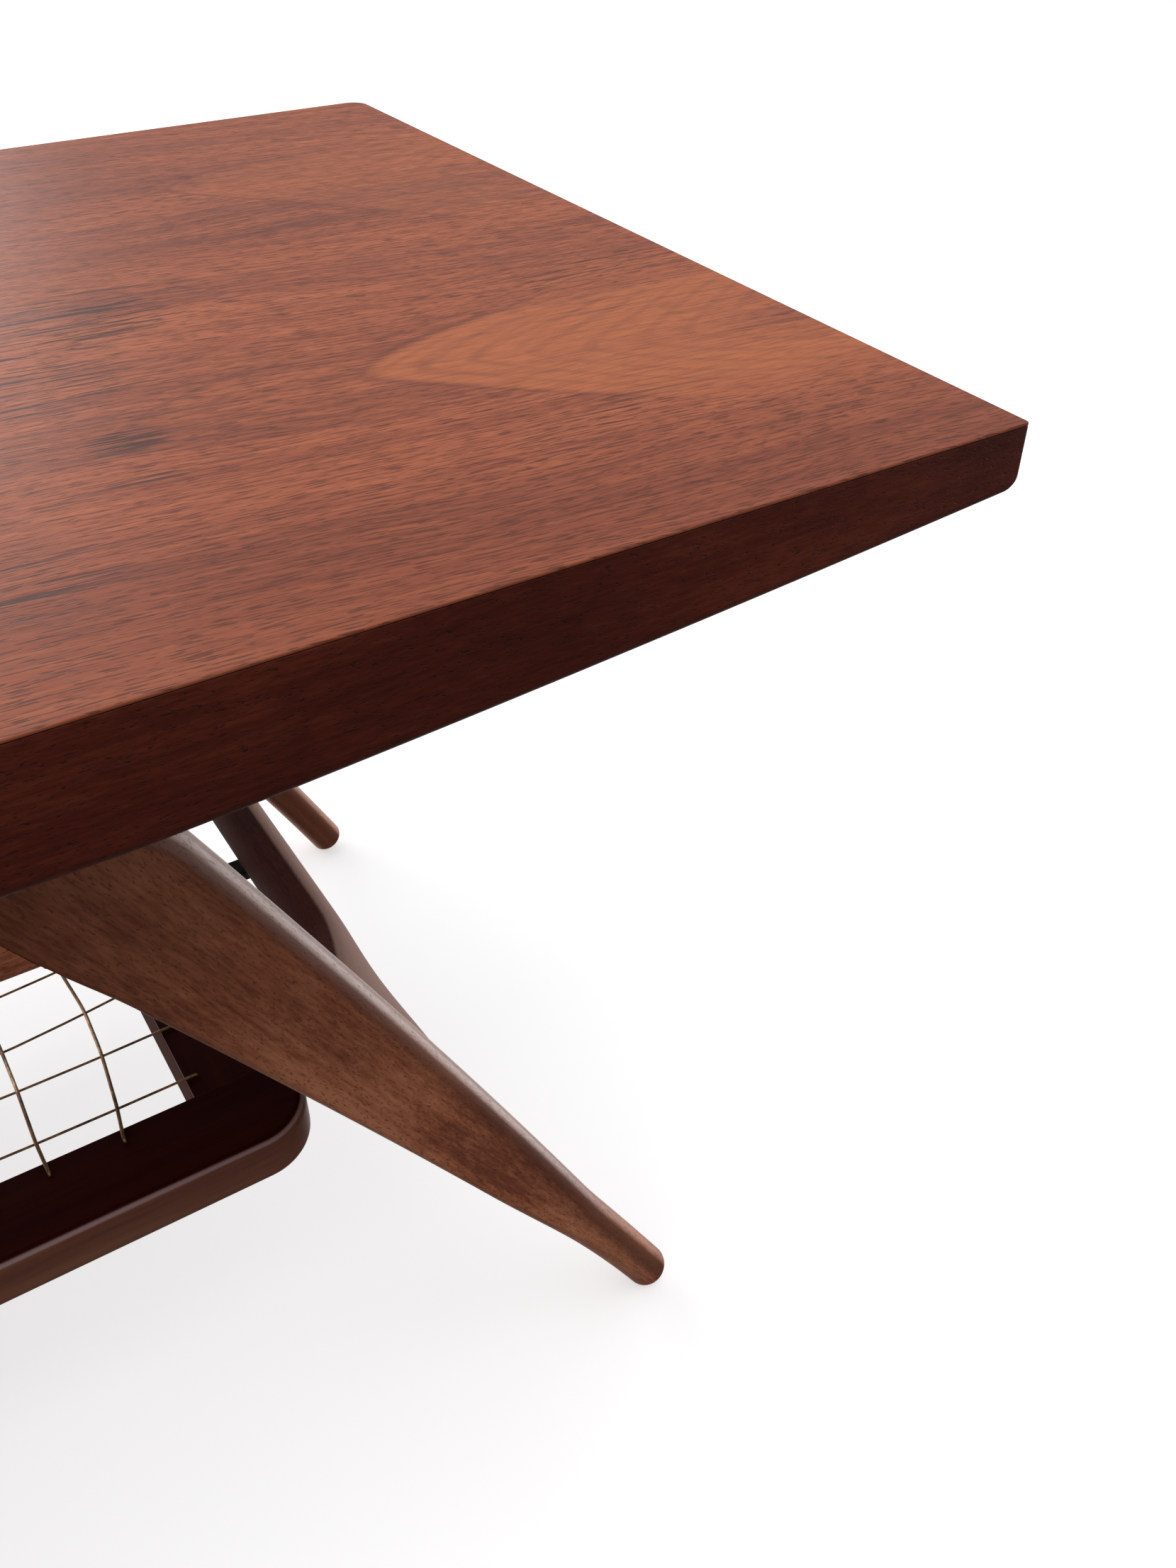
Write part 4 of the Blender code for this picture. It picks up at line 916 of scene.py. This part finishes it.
def make_side_rails(material):
    low_x = leg_edges(LEG_SPLIT_Z)[0] - FIT_GAP
    middle_z, half_tall = (FRAME_TOP_Z + RAIL_BOTTOM_Z) / 2, (FRAME_TOP_Z - RAIL_BOTTOM_Z) / 2
    section = rounded_plan(HALF_THICK, half_tall, ARRIS, ARRIS, 0.0, 8)
    section = [(across, middle_z + up) for across, up in section]
    for name_y, side_y in SIDES_Y:
        rings = []
        for share in (-1.0, -0.6, -0.2, 0.2, 0.6, 1.0):
            ring = []
            for across, up in section:
                end_x = low_x - (up - LEG_SPLIT_Z) * LEG_INNER_LEAN
                ring.append((share * end_x, side_y * FRAME_Y + across, up))
            rings.append(ring)
        name = f"shaped_side_rail_{name_y}"
        show(name, loft_mesh(name, rings), material, "leg_wood", f"{name_y}_side_rail")


def stretcher_ring(y, side_x, sides=48):
    """Section of a stretcher. Its last part swells and runs on into the round edge of the leg."""
    share = (abs(y) - STRETCHER_FLARE_Y) / (STRETCHER_END_Y - STRETCHER_FLARE_Y)
    swell = max(0.0, (abs(y) - STRETCHER_SWELL_Y) / (STRETCHER_INTO_LEG_Y - STRETCHER_SWELL_Y)) ** 2
    end_x = sum(leg_edges(STRETCHER_END_Z)) / 2
    tilt = blend(0.0, LEG_ANGLE, share)
    middle_x = blend(STRETCHER_MID_X, end_x, share)
    middle_z = blend(STRETCHER_MID_Z, STRETCHER_END_Z, share)
    thick = blend(STRETCHER_MID_HALF[0], STRETCHER_END_HALF[0], share)
    tall = blend(STRETCHER_MID_HALF[1], STRETCHER_END_HALF[1], share) + STRETCHER_SWELL * swell
    points = []
    for step in range(sides):
        angle = 2 * math.pi * step / sides
        across = thick * math.cos(angle)
        up = tall * math.sin(angle)
        x = middle_x + across * math.cos(tilt) - up * math.sin(tilt)
        z = middle_z + across * math.sin(tilt) + up * math.cos(tilt)
        points.append((side_x * x, y, z))
    return points


def make_stretchers(material):
    for name_x, side_x in SIDES_X:
        name = f"shaped_stretcher_{name_x}"
        places = [STRETCHER_INTO_LEG_Y * k / 70 for k in range(-70, 71)]
        rings = [stretcher_ring(y, side_x) for y in places]
        show(name, loft_mesh(name, rings), material, "leg_wood", f"{name_x}_stretcher")


# --- rack ---


def rack_levels():
    """(z, outer inset, inner inset) from the bottom of a rack rail to its top."""
    distances = quarter_steps(RACK_TOP_ARRIS, 8)
    levels = [
        (RACK_BOTTOM_Z + distance, quarter_round(RACK_BOTTOM_ARRIS, distance), 0.0)
        for distance in quarter_steps(RACK_BOTTOM_ARRIS, 8)
    ]
    for distance in sorted(distances + [0.15 * RACK_INNER_ARRIS, 0.5 * RACK_INNER_ARRIS], reverse=True):
        outer = quarter_round(RACK_TOP_ARRIS, distance)
        levels.append((RACK_TOP_Z - distance, outer, quarter_round(RACK_INNER_ARRIS, distance)))
    return levels


def drilled_loft(name, rings, holes, radius):
    """A closed body through rings, with round holes at (x, y) places down from the top of the rack."""
    low, high = RACK_TOP_Z - WIRE_HOLE_DEPTH, RACK_TOP_Z + DRILL_OVERRUN
    bm = bmesh.new()
    for x, y in holes:
        made = bmesh.ops.create_cone(
            bm, cap_ends=True, segments=16, radius1=radius, radius2=radius, depth=high - low
        )
        bmesh.ops.translate(bm, vec=(x, y, (high + low) / 2), verts=made["verts"])
    cutter = link(f"{name}_holes", mesh_from(f"{name}_holes", bm))
    body = link(f"{name}_body", loft_mesh(f"{name}_body", rings))
    hollow = body.modifiers.new("holes", "BOOLEAN")
    hollow.operation = "DIFFERENCE"
    hollow.solver = "EXACT"
    hollow.object = cutter
    return evaluated_mesh(name, body, cutter)


def make_rack_rails(long_wood, end_wood):
    levels = rack_levels()
    for name_y, side_y in SIDES_Y:
        rings = []
        for z, inset, _ in levels:
            ring = []
            for start, sign in ((180, -1), (270, 1)):
                for k in range(25):
                    angle = math.radians(start + 90 * k / 24)
                    turn = RACK_CORNER_RADIUS - inset
                    x = sign * (RACK_OUTER_X - RACK_CORNER_RADIUS) + turn * math.cos(angle)
                    y = -(RACK_OUTER_Y - RACK_CORNER_RADIUS) + turn * math.sin(angle)
                    ring.append((x, y))
            ring += [(RACK_OUTER_X - inset, -RACK_INNER_Y), (-RACK_OUTER_X + inset, -RACK_INNER_Y)]
            rings.append([(x, -side_y * y, z) for x, y in ring])
        hole_y = side_y * CROSS_WIRE_END_Y
        each = range(-CROSS_WIRES_EACH_SIDE, CROSS_WIRES_EACH_SIDE + 1)
        holes = [(index * CROSS_WIRE_PITCH, hole_y) for index in each]
        name = f"rack_frame_{name_y}"
        mesh = drilled_loft(name, rings, holes, CROSS_WIRE_RADIUS + FIT_GAP)
        show(name, mesh, long_wood, "rack_wood", f"rack_{name_y}_rail")
    for name_x, side_x in SIDES_X:
        rings = []
        half_y = RACK_INNER_Y - FIT_GAP / 2
        for z, inset, worn in levels:
            outer = RACK_OUTER_X - inset
            inner = RACK_INNER_X + worn
            ring = [(inner, -half_y), (outer, -half_y), (outer, half_y), (inner, half_y)]
            rings.append([(side_x * x, y, z) for x, y in ring])
        hole_x = side_x * LONG_WIRE_END_X
        each = range(-LONG_WIRES_EACH_SIDE, LONG_WIRES_EACH_SIDE + 1)
        holes = [(hole_x, index * LONG_WIRE_PITCH) for index in each]
        name = f"rack_frame_{name_x}"
        mesh = drilled_loft(name, rings, holes, LONG_WIRE_RADIUS + FIT_GAP)
        show(name, mesh, end_wood, "rack_wood", f"rack_{name_x}_rail")


# --- wires ---


def grid_drop(x, y):
    """How far the grid hangs below its ends, from its own sag and the pressed-down crossing."""
    share_x = max(0.0, 1.0 - (x / RACK_INNER_X) ** 2)
    share_y = max(0.0, 1.0 - (y / RACK_INNER_Y) ** 2)
    dent_x = max(0.0, 1.0 - abs(abs(x) - DENT_X) / DENT_REACH_X)
    dent_y = math.exp(-((abs(y - DENT_Y) / DENT_REACH_Y) ** 3))
    return WIRE_SAG * share_x * share_y + DENT_DEPTH * dent_x * dent_y


def wire_end(reach, rest_z, turn):
    """(distance along, z) from the tip in its hole, round a smooth bend, to where the wire lies."""
    points = [(reach, RACK_TOP_Z - WIRE_HOLE_DEPTH + FIT_GAP), (reach, rest_z - turn)]
    for step in range(1, 7):
        angle = math.radians(90 * step / 6)
        points.append((reach - turn + turn * math.cos(angle), rest_z - turn + turn * math.sin(angle)))
    return points


def wire_piece(name, points, radius, material, node):
    curve = bpy.data.curves.new(name, "CURVE")
    curve.dimensions = "3D"
    curve.bevel_depth = radius
    curve.bevel_resolution = 4
    curve.use_fill_caps = True
    spline = curve.splines.new("POLY")
    spline.points.add(len(points) - 1)
    for point, place in zip(spline.points, points):
        point.co = (*place, 1)
    mesh = evaluated_mesh(name, link(f"{name}_path", curve))
    mesh.materials.clear()
    show(name, mesh, material, "wire_brass", node, smooth_angle=60, weighted=False)


def eased(stops, share=0.22, steps=3):
    """The points of a wire bent at each stop: straight runs, with a short round bend at each inner stop."""
    points = [Vector(stops[0])]
    for before, here, after in zip(stops, stops[1:], stops[2:]):
        before, here, after = Vector(before), Vector(here), Vector(after)
        reach = share * min((here - before).length, (after - here).length)
        start = here + (before - here).normalized() * reach
        end = here + (after - here).normalized() * reach
        for step in range(steps + 1):
            t = step / steps
            points.append(start * (1 - t) ** 2 + here * 2 * t * (1 - t) + end * t**2)
    points.append(Vector(stops[-1]))
    return points


def uneven(index, number):
    """How far a crossing of the hand-set grid lies off its place."""
    return GRID_UNEVEN * math.sin(12.9 * index + 4.1 * number)


def make_wires(material):
    cross_rest = RACK_TOP_Z + FIT_GAP + CROSS_WIRE_RADIUS
    cross_over = RACK_TOP_Z + 2 * (FIT_GAP + LONG_WIRE_RADIUS) + CROSS_WIRE_RADIUS
    each_cross = range(-CROSS_WIRES_EACH_SIDE, CROSS_WIRES_EACH_SIDE + 1)
    each_long = range(-LONG_WIRES_EACH_SIDE, LONG_WIRES_EACH_SIDE + 1)
    for index in each_cross:
        home = index * CROSS_WIRE_PITCH
        side = (index > 0) - (index < 0)
        bent = side if abs(index) == CROSS_WIRES_EACH_SIDE else 0
        ends = wire_end(CROSS_WIRE_END_Y, cross_rest, CROSS_WIRE_BEND)
        stops = [(home, -along, z) for along, z in ends]
        for crossing in each_long:
            y = crossing * LONG_WIRE_PITCH
            bow = BENT_WIRE_BOW * math.exp(-2.5 * ((y - BENT_WIRE_Y) / BENT_WIRE_REACH) ** 2)
            x = home + bent * bow + uneven(index, crossing)
            stops.append((x, y, cross_over - grid_drop(x, y)))
        stops += [(home, along, z) for along, z in reversed(ends)]
        number = index + CROSS_WIRES_EACH_SIDE + 1
        wire_piece(
            f"brass_cross_{number:02d}", eased(stops), CROSS_WIRE_RADIUS, material, f"cross_wire_{number:02d}"
        )
    long_rest = RACK_TOP_Z + FIT_GAP + LONG_WIRE_RADIUS
    for index in each_long:
        home = index * LONG_WIRE_PITCH
        ends = wire_end(LONG_WIRE_END_X, long_rest, LONG_WIRE_BEND)
        stops = [(-along, home, z) for along, z in ends]
        for crossing in each_cross:
            x = crossing * CROSS_WIRE_PITCH
            y = home + uneven(index + 30, crossing)
            stops.append((x, y, long_rest - grid_drop(x, home)))
        stops += [(along, home, z) for along, z in reversed(ends)]
        number = index + LONG_WIRES_EACH_SIDE + 1
        wire_piece(f"brass_long_{number}", eased(stops), LONG_WIRE_RADIUS, material, f"long_wire_{number}")


# --- stage ---


def make_floor():
    bm = bmesh.new()
    bmesh.ops.create_grid(bm, x_segments=1, y_segments=1, size=FLOOR_HALF)
    mesh = mesh_from("floor", bm)
    graph = Graph("pale_floor", roughness=0.9, specular=0.1)
    graph.shader.inputs["Base Color"].default_value = FLOOR_COLOUR
    graph.shader.inputs["Emission Color"].default_value = WHITE
    graph.shader.inputs["Emission Strength"].default_value = FLOOR_GLOW
    mesh.materials.append(graph.material)
    floor = link("floor", mesh)
    floor.visible_diffuse = False
    floor.visible_glossy = False


def area_light(name, place, target, size, power):
    light = bpy.data.lights.new(name, "AREA")
    light.shape = "RECTANGLE"
    light.size, light.size_y = size
    light.energy = power
    lamp = link(name, light)
    lamp.visible_camera = False
    lamp.location = place
    lamp.rotation_euler = (Vector(target) - Vector(place)).to_track_quat("-Z", "Y").to_euler()


def eased_range(tree, value, *numbers):
    node = tree.nodes.new("ShaderNodeMapRange")
    node.interpolation_type = "SMOOTHSTEP"
    for socket, number in zip(node.inputs[1:], numbers):
        socket.default_value = number
    tree.links.new(value, node.inputs["Value"])
    return node.outputs[0]


def make_light():
    """Soft light of a room: bright above, dim below, with a bright floor behind the table."""
    world = bpy.data.worlds.new("soft_room")
    world.use_nodes = True
    tree = world.node_tree
    direction = tree.nodes.new("ShaderNodeSeparateXYZ")
    tree.links.new(tree.nodes.new("ShaderNodeTexCoord").outputs["Generated"], direction.inputs[0])
    room = eased_range(tree, direction.outputs["Z"], -0.15, 0.35, *ROOM_DIM_AND_BRIGHT)
    below = eased_range(tree, direction.outputs["Z"], -0.25, 0.05, 1.0, 0.0)
    behind = eased_range(tree, direction.outputs["Y"], 0.10, 0.60, 0.0, FLOOR_BEHIND)
    level = tree.nodes.new("ShaderNodeMath")
    level.operation = "MULTIPLY_ADD"
    for socket, value in zip(level.inputs, (below, behind, room)):
        tree.links.new(value, socket)
    tree.links.new(level.outputs[0], tree.nodes["Background"].inputs["Strength"])
    tree.nodes["Background"].inputs["Color"].default_value = WHITE
    bpy.context.scene.world = world
    for lamp in LAMPS:
        area_light(*lamp)
    view = bpy.context.scene.view_settings
    view.view_transform = "Standard"
    view.look = "None"
    view.exposure = 0.0
    view.gamma = 1.0


def make_camera():
    data = bpy.data.cameras.new("camera")
    data.sensor_fit = "VERTICAL"
    data.sensor_height = CAMERA_SENSOR
    data.lens = CAMERA_LENS
    data.clip_end = 100.0
    camera = link("camera", data)
    pose = Matrix((CAMERA_RIGHT, -CAMERA_DOWN, -CAMERA_AHEAD)).transposed().to_4x4()
    camera.matrix_world = Matrix.Translation(CAMERA_PLACE) @ pose
    bpy.context.scene.camera = camera


# --- the table ---

veneer = top_teak()
edge_x = oiled_teak("edge_teak_long", *EDGE_STAIN_AND_SHADE, "x", 0.3, specular=0.18)
edge_y = oiled_teak("edge_teak_short", *EDGE_STAIN_AND_SHADE, "y", 0.7, specular=0.18)
leg_woods = {
    "left": oiled_teak("leg_wood_left", *LEG_COLOURS, -LEG_ANGLE, 1.4, LEG_CROWN_HIGHLIGHT),
    "right": oiled_teak("leg_wood_right", *LEG_COLOURS, LEG_ANGLE, 0.2, LEG_CROWN_HIGHLIGHT),
}
rail_wood = oiled_teak("rail_wood", *LEG_COLOURS, "x", 2.1)
stretcher_wood = oiled_teak(
    "stretcher_wood", *STRETCHER_SHADED_COLOURS, "y", 3.3, sheen=STRETCHER_PAINTED_SHEEN, specular=0.06, matt=0.60
)
bearer_wood = wood("bearer_wood", *LEG_COLOURS, "y", (0.55, 0.75), 4.2)
rack_long = stained_teak("rack_wood_long", *RACK_TOP_STAIN_AND_SHADE, "x", 5.1)
rack_end = stained_teak("rack_wood_end", *RACK_TOP_STAIN_AND_SHADE, "y", 5.9)
board = wood("board_back", *BOARD_COLOURS, "x", (0.6, 0.8), 6.4)
beech = wood("beech_dowel", *BEECH_COLOURS, "z", (0.6, 0.8), 7.2)
wire_brass = brass()
black = black_paint()
steel = screw_metal()

make_veneer(veneer)
make_lipping("near", -1, NEAR_CORNER_RADIUS, edge_x)
make_lipping("far", 1, FAR_CORNER_RADIUS, edge_x)
make_legs(leg_woods)
make_side_rails(rail_wood)
make_stretchers(stretcher_wood)
make_rack_rails(rack_long, rack_end)
make_wires(wire_brass)

dress("core_panel", board)
for name_x, _ in SIDES_X:
    dress(f"{name_x}_end_strip", edge_y)
    dress(f"{name_x}_bearer", bearer_wood)
    dress(f"{name_x}_hanger", black)
    dress(f"{name_x}_hanger_screw", steel)
    for name_y, _ in SIDES_Y:
        dress(f"bearer_screw_{name_y}_{name_x}", steel)
        dress(f"bearer_dowel_{name_y}_{name_x}", beech)

make_floor()
make_light()
make_camera()
